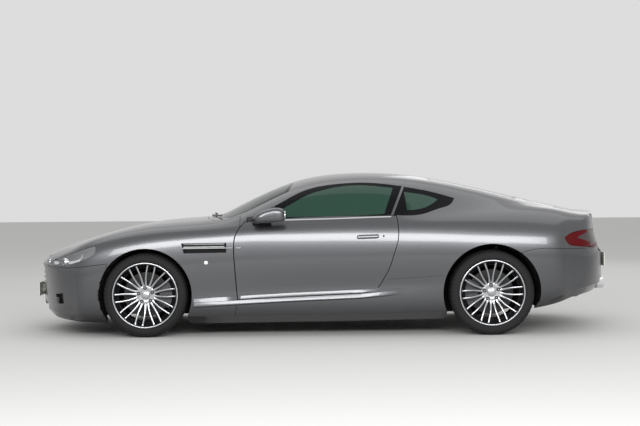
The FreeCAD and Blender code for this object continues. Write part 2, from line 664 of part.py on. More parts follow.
def tyre_corners(width, radius):
    """Carcass section from the outboard bead over the tread to the inboard bead, then back."""
    bead = "rim_seat_radius"
    flange = "rim_flange_radius"
    outside = [
        ((bead, 1, 0.3), -36), ((bead, 1, 0.3), -14.6), ((flange, 1, 3), -14.6),
        ((flange, 1, 6), -3), ((flange, 1, 26), 0), ((radius, 1, -24), -2),
        ((radius, 1, -7), -16), ((radius, 1, 0), -34)]
    inside = [((radius, 1, -14), -40), ((radius, 1, -28), -18), ((flange, 1, 22), -12),
              ((flange, 1, 4), -24)]
    right = [(u, (width, 0.5, v)) for u, v in outside]
    left = [(u, (width, -0.5, -v)) for u, v in reversed(outside)]
    back = [(u, (width, -0.5, -v)) for u, v in reversed(inside)]
    home = [(u, (width, 0.5, v)) for u, v in inside]
    return right + left + back + home


DISC_CORNERS = [
    (30, 37.7), (78, 37.7), (78, 5), (("disc_radius", 1, 0), 5),
    (("disc_radius", 1, 0), ("disc_thickness", -1, 5)), (96, ("disc_thickness", -1, 5)),
    (96, -12), (70, -12), (70, 29), (30, 29)]
HUB_CORNERS = [
    (0, 38), (("hub_radius", 1, 0), 38), (("hub_radius", 1, 0), 62), (64, 70), (38, 66),
    (("cap_radius", 1, 2), 64), (("cap_radius", 1, 0), 76), (("cap_radius", 1, -10), 82), (0, 84)]


def make_rim(name, width, place):
    body = new_body(name, place)
    turned(body, "barrel", rim_corners(width))
    turned(body, "hub", HUB_CORNERS)
    spokes = []
    for side in (-1.0, 1.0):
        sketch = profile(body, "spoke_%s" % ("a" if side < 0 else "b"), [
            (58, 40), (("rim_seat_radius", 1, -24), (width, 0.5, -44)),
            (("rim_seat_radius", 1, -5), (width, 0.5, -30)),
            (("rim_seat_radius", 1, -5), (width, 0.5, -12)),
            (("rim_seat_radius", 1, -40), (width, 0.5, -16)), (150, 82), (58, 68)])
        sketch.setExpression("AttachmentOffset.Rotation.Angle",
                             "Sizes.spoke_spread * %s" % (side * 0.5))
        sketch.AttachmentOffset = Placement(
            Vector(), Rotation(Vector(0, 1, 0), side * 0.5 * size("spoke_spread")))
        pad = body.newObject("PartDesign::Pad", sketch.Name + "_pad")
        pad.Profile = (sketch, [""])
        pad.Midplane = True
        pad.setExpression("Length", "Sizes.spoke_thickness")
        spokes.append(pad)
    patterned(body, "spokes", spokes, 10)
    doc.recompute()
    return keep(body)


def make_turned(name, corners, place):
    body = new_body(name, place)
    turned(body, "section", corners)
    return keep(body)


def sector(radius, low, high, turn, spread):
    """Part of a disc round local Z, centred on the direction turn."""
    piece = Part.makeCylinder(radius, high - low, Vector(0, 0, low), Vector(0, 0, 1), spread)
    piece.rotate(Vector(), Vector(0, 0, 1), turn - spread / 2.0)
    return piece


def carrier(turn):
    """Wheel carrier with its brake caliper, in a wheel's local frame."""
    reach = size("disc_radius") + 6.0
    low = 5.0 - size("disc_thickness") - 5.5
    caliper = sector(208.0, low - 30.0, 42.0, turn, 62.0)
    caliper = caliper.cut(sector(108.0, low - 40.0, 60.0, turn, 360.0))
    caliper = caliper.cut(sector(reach, low, 10.5, turn, 360.0))
    spindle = Part.makeCylinder(42.0, 66.0, Vector(0, 0, -44), Vector(0, 0, 1))
    plate = Part.makeCylinder(92.0, 32.0, Vector(0, 0, -74), Vector(0, 0, 1))
    block = box(-34.0, 34.0, -112.0, 120.0, -74.0, -44.0)
    link = box(60.0, 150.0, -40.0, 40.0, low - 30.0, low - 8.0)
    link.rotate(Vector(), Vector(0, 0, 1), turn)
    return spindle.fuse([plate, block, link, caliper])


def wheel_place(axle_x, height, track, side):
    """Local Z outboard, local Y up."""
    across = Rotation(Vector(0, 0, 1), 0.0 if side < 0 else 180.0)
    upright = Rotation(Vector(1, 0, 0), 90.0)
    return Placement(Vector(axle_x, side * track, height), across.multiply(upright))


for end, axle_x, height, arch, track, width in axles:
    for side, word in ((-1, "left"), (1, "right")):
        place = wheel_place(axle_x, height, track, side)
        name = "%s_%s" % (end, word)
        make_rim("rim_" + name, end + "_tyre_width", place)
        make_turned("tyre_" + name,
                    tyre_corners(end + "_tyre_width", end + "_tyre_radius"), place)
        make_turned("brake_disc_" + name, DISC_CORNERS, place)
        if end == "front":
            keep(add_shape("knuckle_" + name, carrier(0.0 if side < 0 else 180.0), place))

floor_z = size("floor_z")
floor_top = floor_z + size("floor_thickness")
liner = size("liner_thickness")
house = size("wheelhouse_radius")
front_x = size("front_axle_x")
rear_x = size("rear_axle_x")

JACKING_X = (-800.0, 780.0)

# Floor, bulkheads, parcel shelf, boot floor and wheelhouses, trimmed by the body's inside.
pan = [
    box(-985.0, 1000.0, -850.0, 850.0, floor_z, floor_top),
    box(-985.0, 1000.0, -120.0, 120.0, floor_top, 330.0),
    box(-985.0, -965.0, -850.0, 850.0, floor_z, 866.0),
    box(980.0, 1000.0, -850.0, 850.0, floor_z, 905.0),
    box(980.0, 1640.0, -850.0, 850.0, 905.0, 917.0),
    box(980.0, 2260.0, -850.0, 850.0, 440.0, 455.0),
    box(-2270.0, -985.0, -470.0, 470.0, floor_z, floor_z + liner),
    box(-2100.0, -2088.0, -470.0, 470.0, floor_z + liner, 560.0)]
for side in (-1, 1):
    y0, y1 = sorted((side * (inner_y - 10.0), side * inner_y))
    pan.append(box(-2150.0, -985.0, y0, y1, floor_z, 640.0))
pads = [box(x - 30.0, x + 30.0, side * 690.0 - 30.0, side * 690.0 + 30.0,
            floor_z - 12.0, floor_z) for x in JACKING_X for side in (-1, 1)]
houses = []
house_cuts = []
for end, axle_x, height, arch, track, width in axles:
    drum = Part.makeCylinder(house, 420.0, Vector(axle_x, -inner_y + liner - 420.0, height),
                             Vector(0, 1, 0))
    hollow = Part.makeCylinder(house - liner, 420.0, Vector(axle_x, -inner_y - 420.0, height),
                               Vector(0, 1, 0))
    opening = box(axle_x - 140.0, axle_x + 140.0, -inner_y - 30.0, -inner_y + 40.0, 0.0, 430.0)
    below = box(axle_x - 450.0, axle_x + 450.0, -1000.0, -400.0, -100.0, floor_z)
    houses.append(drum.cut([hollow, opening, below]).common(room))
    house_cuts.append(Part.makeCylinder(house + seat, 420.0,
                                        Vector(axle_x, -inner_y + liner + seat - 420.0, height),
                                        Vector(0, 1, 0)))
    house_cuts.append(opening)
houses += [mirrored(shape) for shape in houses]
house_cuts += [mirrored(shape) for shape in house_cuts]
floor_pan = pan[0].fuse(pan[1:]).cut(house_cuts).common(room)
floor_pan = floor_pan.fuse(pads).removeSplitter()
keep(add_shape("floor_pan", joined([floor_pan])))
keep(add_shape("wheelhouses", joined(houses)))

engine = box(-1700.0, -1010.0, -310.0, 310.0, 260.0, 740.0)
engine = engine.makeChamfer(60.0, engine.Edges)
keep(add_shape("engine", engine))


def cylinder_between(start, stop, radius):
    return Part.makeCylinder(radius, (stop - start).Length, start, stop - start)


def arm_plate(axle_x, side, low, high, tip):
    corners = [(axle_x - 118, 430), (axle_x - 30, tip), (axle_x + 30, tip), (axle_x + 118, 430)]
    loop = [Vector(x, side * y, low) for x, y in corners]
    return Part.Face(Part.makePolygon(loop + [loop[0]])).extrude(Vector(0, 0, high - low))


arms = []
for side in (-1, 1):
    arms.append(arm_plate(front_x, side, 178.0, 200.0, 732.0))
    arms.append(cylinder_between(Vector(front_x, side * 578.0, 190.0),
                                 Vector(front_x, side * 560.0, 690.0), 27.0))
cross = box(front_x - 60.0, front_x + 60.0, -440.0, 440.0, 172.0, 215.0)
rack = cylinder_between(Vector(front_x + 90.0, -455.0, 214.0),
                        Vector(front_x + 90.0, 455.0, 214.0), 22.0)
keep(add_shape("front_suspension", cross.fuse(arms + [rack])))

axle = [box(rear_x - 140.0, rear_x + 140.0, -125.0, 125.0, 230.0, 425.0)]
for side in (-1, 1):
    place = wheel_place(rear_x, size("rear_tyre_radius"), size("rear_half_track"), side)
    hub = carrier(180.0 if side < 0 else 0.0)
    hub.Placement = place
    axle.append(hub)
    axle.append(arm_plate(rear_x, side, 200.0, 224.0, 716.0))
    axle.append(cylinder_between(Vector(rear_x, side * 100.0, size("rear_tyre_radius")),
                                 Vector(rear_x, side * 715.0, size("rear_tyre_radius")), 17.0))
    axle.append(cylinder_between(Vector(rear_x + 70.0, side * 590.0, 210.0),
                                 Vector(rear_x + 70.0, side * 575.0, 690.0), 27.0))
    y0, y1 = sorted((side * 100.0, side * 440.0))
    axle.append(box(rear_x - 50.0, rear_x + 50.0, y0, y1, 200.0, 240.0))
keep(add_shape("rear_axle", axle[0].fuse(axle[1:])))

silencer = box(1800.0, 2140.0, -420.0, 420.0, 255.0, 425.0)
silencer = silencer.makeFillet(45.0, silencer.Edges)
pipes = []
for side in (-1, 1):
    pipes.append(cylinder_between(Vector(2100.0, side * EXHAUST_Y, EXHAUST_Z - 12.0),
                                  Vector(2310.0, side * EXHAUST_Y, EXHAUST_Z), EXHAUST_RADIUS))
keep(add_shape("exhaust", silencer.fuse(pipes)))


# Cabin fittings.
def section_prism(points, y0, y1):
    loop = [Vector(x, y0, z) for x, z in points]
    return Part.Face(Part.makePolygon(loop + [loop[0]])).extrude(Vector(0, y1 - y0, 0))


dash = section_prism([(-700, 905), (-560, 900), (-470, 868), (-440, 800), (-455, 700),
                      (-520, 600), (-640, 560), (-700, 560)], -720.0, 720.0)
console = section_prism([(-600, 330.3), (-600, 640), (-480, 640), (-380, 520), (380, 500),
                         (420, 470), (420, 330.3)], -110.0, 110.0)
column = cylinder_between(Vector(-560.0, -size("seat_y"), 700.0),
                          Vector(-395.0, -size("seat_y"), 762.0), 36.0)
keep(add_shape("dashboard", dash.fuse([console, column]).common(room)))


def seat_block(y, cushion, back, width, rest_at):
    half = width / 2.0
    base = section_prism(cushion, y - half, y + half)
    rear = section_prism(back, y - half, y + half)
    head = section_prism(rest_at, y - 0.3 * width, y + 0.3 * width)
    return base.fuse([rear, head])


FRONT_CUSHION = [(-260, 200), (-250, 400), (-200, 425), (250, 385), (330, 360), (330, 200)]
FRONT_BACK = [(230, 330), (200, 400), (330, 930), (380, 950), (455, 930), (400, 330)]
FRONT_REST = [(345, 925), (365, 1075), (400, 1095), (450, 1070), (445, 925)]
REAR_CUSHION = [(560, 170.3), (560, 380), (600, 405), (900, 350), (960, 170.3)]
REAR_BACK = [(800, 340), (880, 890), (960, 895), (978, 340)]
REAR_REST = [(885, 885), (890, 960), (945, 960), (950, 885)]
for side, word in ((-1, "left"), (1, "right")):
    keep(add_shape("front_seat_" + word,
                   seat_block(side * size("seat_y"), FRONT_CUSHION, FRONT_BACK,
                              size("seat_width"), FRONT_REST)))
rear_seats = [seat_block(side * size("rear_seat_y"), REAR_CUSHION, REAR_BACK,
                         size("rear_seat_width"), REAR_REST) for side in (-1, 1)]
keep(add_shape("rear_seats", joined(rear_seats)))

# Steering wheel: local Z points from the column to the driver.
steering_place = Placement(Vector(-352.0, -size("seat_y"), 778.0),
                           Rotation(Vector(0, 1, 0), 69.4))


def primitive(kind, name, bound, place):
    part = doc.addObject("Part::" + kind, name)
    for prop, text in bound:
        part.setExpression(prop, text)
    part.Placement = place
    return part


pieces = [
    primitive("Torus", "steering_grip_ring", [("Radius1", "Sizes.steering_radius"),
                                              ("Radius2", "Sizes.steering_grip")], Placement()),
    primitive("Cylinder", "steering_boss", [("Radius", "Sizes.steering_radius * 0.3"),
                                            ("Height", "Sizes.steering_grip * 2")],
              Placement(Vector(0, 0, -28), Rotation()))]
for index, turn in enumerate((0.0, 180.0, 270.0)):
    place = Placement(Vector(), Rotation(Vector(0, 0, 1), turn + 90.0))
    place = place.multiply(Placement(Vector(0, -17, -12), Rotation()))
    pieces.append(primitive("Box", "steering_spoke_%d" % index,
                            [("Length", "Sizes.steering_radius"), ("Width", "Sizes.steering_grip * 2.2"),
                             ("Height", "Sizes.steering_grip * 0.8")], place))
wheel = doc.addObject("Part::MultiFuse", "steering_wheel")
wheel.Label = "steering_wheel"
wheel.Shapes = pieces
wheel.Placement = steering_place
keep(wheel)

# Mirrors, plates, vents and wipers.
MIRROR_HEAD = [(-470, 915), (-468, 985), (-440, 1006), (-330, 1010), (-282, 985), (-280, 920),
               (-330, 902), (-430, 900)]
head_block = section_prism(MIRROR_HEAD, -1000.0, -880.0)
stalk = section_prism([(-470, 880), (-430, 930), (-360, 930), (-350, 880)], -905.0, -810.0)
mirror = head_block.fuse(stalk).cut(skin)
for word, shape in (("left", mirror), ("right", mirrored(mirror))):
    keep(add_shape("mirror_" + word, joined([shape])))
half_plate = size("plate_length") / 2.0
tall = size("plate_height")
front_plate = box(-2352.0, -2346.0, -half_plate, half_plate, 286.0, 286.0 + tall)
bracket = box(-2346.0, -2322.0 - seat, -100.0, 100.0, 310.0, 370.0)
front_plate = front_plate.fuse(bracket)
rear_plate = box(2358.0, 2364.0, -half_plate, half_plate, 500.0, 500.0 + tall)
keep(add_shape("number_plates", joined([front_plate, rear_plate])))
vent = side_prism("wing_vent").common(closed_body(moved_rows(skin_rows, 14.0)))
vent = vent.cut(closed_body(moved_rows(skin_rows, 24.0)))
keep(add_shape("wing_vents", joined(pair(vent))))
wiper = cylinder_between(Vector(-905.0, -140.0, 945.0), Vector(-800.0, -610.0, 953.0), 7.0)
other = cylinder_between(Vector(-908.0, 420.0, 941.0), Vector(-885.0, -60.0, 958.0), 7.0)
keep(add_shape("wipers", joined([wiper, other])))

doc.recompute()
for item in doc.Objects:
    assert not {"Invalid", "Error"} & set(item.State), item.Name
for node in nodes:
    assert not node.Shape.isNull() and node.Shape.isValid(), node.Label
os.makedirs("parts", exist_ok=True)
for node in nodes:
    node.Shape.exportStep("parts/%s.step" % node.Label)
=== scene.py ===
import math

import bmesh
import bpy
import numpy as np
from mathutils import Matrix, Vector
from mathutils.geometry import delaunay_2d_cdt


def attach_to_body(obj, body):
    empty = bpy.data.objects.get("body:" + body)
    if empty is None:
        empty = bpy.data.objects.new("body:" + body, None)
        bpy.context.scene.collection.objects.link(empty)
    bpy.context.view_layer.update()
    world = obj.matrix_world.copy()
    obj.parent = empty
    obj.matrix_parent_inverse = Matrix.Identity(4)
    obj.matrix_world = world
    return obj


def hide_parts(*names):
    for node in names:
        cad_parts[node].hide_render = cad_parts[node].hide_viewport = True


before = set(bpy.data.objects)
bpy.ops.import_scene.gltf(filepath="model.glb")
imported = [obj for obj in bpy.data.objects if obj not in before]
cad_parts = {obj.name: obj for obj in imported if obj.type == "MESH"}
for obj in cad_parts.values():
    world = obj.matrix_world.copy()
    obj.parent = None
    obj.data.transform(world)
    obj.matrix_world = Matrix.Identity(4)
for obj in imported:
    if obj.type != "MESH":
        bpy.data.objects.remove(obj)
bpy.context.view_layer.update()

# Body surface: the part's own control lines, in millimetres. X runs nose to tail, left is -Y.
BODY_LINES = [
    ("bottom_edge", 100.0, 60.0, [
        (-2355, 105, 210), (-2330, 290, 196), (-2290, 560, 190), (-2230, 680, 186),
        (-2100, 780, 180), (-1900, 830, 178), (-1403, 852, 172), (-900, 850, 160),
        (0, 845, 165), (700, 852, 176), (1337, 868, 200), (1600, 862, 240),
        (1900, 832, 292), (2100, 790, 335),
        (2250, 705, 358), (2300, 610, 372), (2330, 480, 380), (2345, 310, 386),
        (2355, 120, 390)]),
    ("sill_low", 112.0, 25.0, [
        (-2355, 108, 232), (-2330, 300, 222), (-2290, 600, 219), (-2230, 735, 217),
        (-2100, 828, 215), (-1900, 868, 210), (-1403, 890, 204), (-900, 886, 194),
        (0, 880, 199), (700, 890, 210), (1337, 908, 236), (1600, 903, 276),
        (1900, 872, 324), (2100, 826, 364),
        (2250, 742, 385), (2300, 650, 398), (2330, 515, 405), (2345, 330, 408),
        (2355, 122, 410)]),
    ("sill_crease", 118.0, 5.0, [
        (-2355, 110, 290), (-2330, 305, 288), (-2290, 620, 287), (-2230, 765, 286),
        (-2100, 852, 285), (-1900, 886, 282), (-1403, 910, 276), (-900, 906, 270),
        (-400, 900, 288), (0, 896, 310), (500, 898, 333), (900, 908, 352),
        (1337, 922, 370), (1600, 918, 390), (1900, 888, 412), (2100, 841, 432),
        (2250, 758, 445), (2300, 680, 452), (2330, 540, 455), (2345, 345, 456),
        (2355, 124, 456)]),
    ("lower_side", 104.0, 0.0, [
        (-2355, 110, 370), (-2330, 308, 358), (-2290, 625, 352), (-2230, 780, 349),
        (-2100, 863, 345), (-1900, 893, 345), (-1403, 914, 345), (-900, 898, 330),
        (-400, 884, 345), (0, 880, 366), (500, 887, 386), (900, 904, 405),
        (1337, 928, 430), (1600, 924, 440), (1900, 894, 455), (2100, 846, 465),
        (2250, 764, 478), (2300, 690, 482), (2330, 555, 484), (2345, 352, 485),
        (2355, 126, 485)]),
    ("mid_side", 112.0, 0.0, [
        (-2355, 110, 470), (-2330, 308, 474), (-2290, 622, 476), (-2230, 780, 478),
        (-2100, 867, 485), (-1900, 898, 502), (-1403, 926, 530), (-900, 912, 520),
        (-400, 903, 520), (0, 901, 530), (500, 907, 542), (900, 922, 555),
        (1337, 940, 570), (1600, 934, 572), (1900, 903, 576), (2100, 856, 580),
        (2250, 774, 579), (2300, 700, 572), (2330, 570, 562), (2345, 362, 548),
        (2355, 130, 535)]),
    ("upper_side", 112.0, 0.0, [
        (-2355, 108, 528), (-2330, 300, 542), (-2290, 605, 560), (-2230, 765, 580),
        (-2100, 850, 612), (-1900, 888, 652), (-1403, 922, 705), (-900, 912, 708),
        (-400, 906, 706), (0, 905, 710), (500, 911, 722), (900, 928, 738),
        (1337, 943, 750), (1600, 936, 752), (1900, 900, 752), (2100, 850, 750),
        (2230, 780, 745), (2262, 750, 735), (2280, 725, 700), (2300, 682, 660),
        (2330, 560, 612), (2345, 352, 588), (2355, 124, 570)]),
    ("shoulder", 98.0, 14.0, [
        (-2355, 98, 545), (-2330, 275, 562), (-2290, 545, 592), (-2230, 690, 625),
        (-2100, 782, 674), (-1900, 832, 730), (-1700, 862, 774), (-1403, 886, 821),
        (-1000, 890, 838), (-600, 888, 840), (0, 882, 846), (500, 882, 862),
        (800, 884, 886), (1000, 883, 904), (1337, 878, 918), (1600, 864, 920),
        (1900, 826, 912), (2100, 782, 900),
        (2230, 722, 890), (2262, 690, 880), (2280, 668, 800), (2300, 628, 725),
        (2330, 520, 645), (2345, 330, 615), (2355, 118, 590)]),
    ("belt", 66.0, 26.0, [
        (-2355, 84, 555), (-2330, 235, 573), (-2290, 465, 598), (-2230, 600, 634),
        (-2100, 692, 686), (-1900, 738, 754), (-1700, 762, 809), (-1403, 780, 864),
        (-1000, 796, 888), (-735, 818, 896), (-500, 832, 902), (0, 832, 914),
        (366, 826, 930), (620, 815, 944), (860, 795, 952), (1060, 770, 966),
        (1337, 735, 986), (1600, 700, 1000), (1780, 674, 1000), (1900, 658, 990),
        (2100, 628, 956),
        (2230, 600, 938), (2262, 578, 936), (2280, 560, 806), (2300, 528, 728),
        (2330, 440, 648), (2345, 290, 622), (2355, 106, 600)]),
    ("glass_mid", 44.0, 14.0, [
        (-2355, 68, 562), (-2330, 188, 577), (-2290, 370, 603), (-2230, 475, 640),
        (-2100, 552, 691), (-1900, 592, 760), (-1700, 612, 818), (-1403, 628, 881),
        (-1000, 655, 908), (-860, 700, 914), (-735, 772, 920), (-600, 788, 950),
        (-480, 776, 985), (-300, 752, 1030), (-100, 736, 1060), (120, 728, 1074),
        (366, 722, 1082), (620, 712, 1082), (860, 692, 1074), (1060, 662, 1066),
        (1337, 618, 1054), (1600, 576, 1034), (1780, 552, 1012), (1900, 542, 998),
        (2100, 522, 963),
        (2230, 498, 948), (2262, 478, 948), (2280, 465, 812), (2300, 440, 732),
        (2330, 370, 650), (2345, 245, 624), (2355, 92, 605)]),
    ("cant_rail", 38.0, 24.0, [
        (-2355, 50, 568), (-2330, 138, 584), (-2290, 268, 611), (-2230, 344, 649),
        (-2100, 402, 697), (-1900, 432, 765), (-1700, 444, 823), (-1403, 455, 888),
        (-1000, 490, 918), (-860, 570, 926), (-735, 680, 938), (-600, 694, 988),
        (-480, 682, 1045), (-300, 652, 1130), (-100, 620, 1196), (120, 602, 1228),
        (366, 592, 1242), (620, 582, 1236), (860, 562, 1210), (1060, 537, 1176),
        (1337, 500, 1120), (1600, 466, 1066), (1780, 447, 1032), (1900, 437, 1010),
        (2100, 422, 970),
        (2230, 406, 956), (2262, 388, 957), (2280, 378, 818), (2300, 358, 736),
        (2330, 300, 652), (2345, 200, 626), (2355, 72, 608)]),
    ("roof_side", 14.0, 33.0, [
        (-2355, 25, 572), (-2330, 70, 589), (-2290, 138, 618), (-2230, 176, 656),
        (-2100, 205, 703), (-1900, 220, 771), (-1700, 226, 828), (-1403, 232, 893),
        (-1000, 262, 925), (-860, 320, 934), (-735, 360, 985), (-600, 372, 1052),
        (-345, 360, 1168), (-100, 336, 1242), (120, 325, 1272), (366, 320, 1283),
        (620, 312, 1277), (860, 300, 1250), (1060, 285, 1213), (1337, 262, 1152),
        (1600, 240, 1089), (1780, 228, 1045), (1900, 222, 1020), (2100, 214, 974),
        (2230, 206, 961), (2262, 196, 962), (2280, 190, 822), (2300, 180, 738),
        (2330, 152, 653), (2345, 102, 627), (2355, 36, 610)]),
    ("crown", 0.0, 35.0, [
        (-2355, 0, 575), (-2330, 0, 591), (-2290, 0, 621), (-2230, 0, 659),
        (-2100, 0, 706), (-1900, 0, 773), (-1700, 0, 829), (-1403, 0, 895),
        (-1000, 0, 928), (-870, 0, 936), (-760, 0, 990), (-617, 0, 1064),
        (-345, 0, 1186), (-209, 0, 1235), (-73, 0, 1266), (130, 0, 1291),
        (335, 0, 1298), (540, 0, 1293), (743, 0, 1276), (1014, 0, 1228),
        (1286, 0, 1166), (1558, 0, 1100), (1830, 0, 1035), (2034, 0, 988),
        (2170, 0, 963),
        (2230, 0, 963), (2262, 0, 964), (2280, 0, 824), (2300, 0, 740),
        (2330, 0, 654), (2345, 0, 628), (2355, 0, 610)]),
]
STATIONS = [
    -2355, -2345, -2322, -2285, -2230, -2140, -2000, -1820, -1610, -1403, -1200, -1020,
    -900, -800, -700, -580, -430, -260, -80, 120, 366, 620, 860, 1060, 1240, 1400, 1560,
    1720, 1880, 2020, 2130, 2200, 2240, 2260, 2268, 2280, 2302, 2328, 2345, 2355]

WALL_SHARE = [(-2400, 0.40), (-1000, 0.40), (-820, 1.0), (1150, 1.0), (1500, 0.55),
              (2400, 0.45)]
LOWER_LINES = 8
END_WALL = 50.0
ROWS = len(BODY_LINES)
HALF_LENGTH = STATIONS[-1] / 1000.0


def along(points, x, column):
    """Height or width of a control line at x: a smooth curve that never overshoots."""
    if x <= points[0][0]:
        return points[0][column]
    if x >= points[-1][0]:
        return points[-1][column]
    steps = [b[0] - a[0] for a, b in zip(points, points[1:])]
    slopes = [(b[column] - a[column]) / h for a, b, h in zip(points, points[1:], steps)]

    def tangent(i):
        if i == 0:
            return slopes[0]
        if i == len(slopes):
            return slopes[-1]
        if slopes[i - 1] * slopes[i] <= 0.0:
            return 0.0
        before = 2.0 * steps[i] + steps[i - 1]
        after = steps[i] + 2.0 * steps[i - 1]
        return (before + after) / (before / slopes[i - 1] + after / slopes[i])

    i = max(k for k in range(len(steps)) if points[k][0] <= x)
    step = steps[i]
    u = (x - points[i][0]) / step
    return ((1 + 2 * u) * (1 - u) ** 2 * points[i][column]
            + u * (1 - u) ** 2 * step * tangent(i)
            + u * u * (3 - 2 * u) * points[i + 1][column]
            + u * u * (u - 1) * step * tangent(i + 1))


def wall_share(x):
    for (x0, share0), (x1, share1) in zip(WALL_SHARE, WALL_SHARE[1:]):
        if x <= x1:
            return share0 + (share1 - share0) * (x - x0) / (x1 - x0)
    return WALL_SHARE[-1][1]


SWEEP = 150.0
SWEEP_CLEAR = 130.0
SWEEP_WIDTH = 600.0
SWEEP_FROM = 1850.0
SWEEP_RUN = 400.0
LEAN = 30.0
LEAN_TOP = 590.0
LEAN_HEIGHT = 375.0


def swept(x, y, z):
    """Where the control point of station x with half width y and height z stands lengthwise."""
    t = min(max((abs(x) - SWEEP_FROM) / SWEEP_RUN, 0.0), 1.0)
    ramp = t * t * (3.0 - 2.0 * t)
    back = SWEEP * ramp * (max(y - SWEEP_CLEAR, 0.0) / SWEEP_WIDTH) ** 2
    if x < 0:
        back += LEAN * ramp * max(LEAN_TOP - z, 0.0) / LEAN_HEIGHT
    return x - math.copysign(back, x)


def net(inside):
    """Control points in metres, stations by columns, from the left bottom over the crown."""
    reach = (STATIONS[-1] - END_WALL) / STATIONS[-1] if inside else 1.0
    poles = np.zeros((len(STATIONS), 2 * ROWS - 1, 3))
    for i, x in enumerate(STATIONS):
        for k, (name, inwards, downwards, points) in enumerate(BODY_LINES):
            y = along(points, x, 1)
            z = along(points, x, 2)
            if inside:
                share = wall_share(x) if k < LOWER_LINES else 1.0
                y = max(y - inwards * share, 0.5 * y)
                z -= downwards
            place = swept(x * reach, y, z)
            poles[i, k] = (place, -y, z)
            poles[i, -1 - k] = (place, y, z)
    return poles / 1000.0


OUTER = net(False)
INNER = net(True)


def cubic_basis(spans, t):
    """Span index and the four cubic B-spline weights on clamped, even knots."""
    knots = np.concatenate([np.zeros(3), np.linspace(0.0, 1.0, spans + 1), np.ones(3)])
    t = np.clip(t, 0.0, 1.0)
    span = np.minimum((t * spans).astype(int), spans - 1) + 3
    weights = np.zeros((len(t), 4))
    weights[:, 0] = 1.0
    left = np.zeros((len(t), 4))
    right = np.zeros((len(t), 4))
    for degree in range(1, 4):
        left[:, degree] = t - knots[span + 1 - degree]
        right[:, degree] = knots[span + degree] - t
        saved = np.zeros(len(t))
        for r in range(degree):
            part = weights[:, r] / (right[:, r + 1] + left[:, degree - r])
            weights[:, r] = saved + right[:, r + 1] * part
            saved = left[:, degree - r] * part
        weights[:, degree] = saved
    return span - 3, weights


def surface(poles, u, v):
    """Points of the surface at u (lengthwise) and v (0 left bottom, 0.5 crown)."""
    iu, wu = cubic_basis(poles.shape[0] - 3, u)
    iv, wv = cubic_basis(poles.shape[1] - 3, v)
    total = np.zeros((len(u), 3))
    for a in range(4):
        for b in range(4):
            total += (wu[:, a] * wv[:, b])[:, None] * poles[iu + a, iv + b]
    return total


def normals(poles, u, v):
    step = 1e-4
    du = (surface(poles, np.minimum(u + step, 1.0), v)
          - surface(poles, np.maximum(u - step, 0.0), v))
    dv = (surface(poles, u, np.minimum(v + step, 1.0))
          - surface(poles, u, np.maximum(v - step, 0.0)))
    across = np.cross(du, dv)
    return across / np.maximum(np.linalg.norm(across, axis=1), 1e-12)[:, None]


_table_u = np.linspace(0.0, 1.0, 4001)
_table_x = surface(OUTER, _table_u, np.full(len(_table_u), 0.5))[:, 0]


def u_at(x):
    return np.interp(x, _table_x, _table_u)


def v_at(u, value, axis, low=0.0):
    """v on the left half where the point's z (axis 2) or half width (axis 1) has that value."""
    a = np.full(len(u), low)
    b = np.full(len(u), 0.5)
    for _ in range(30):
        middle = 0.5 * (a + b)
        point = surface(OUTER, u, middle)
        more = point[:, 2] < value if axis == 2 else -point[:, 1] > value
        a = np.where(more, middle, a)
        b = np.where(more, b, middle)
    return 0.5 * (a + b)


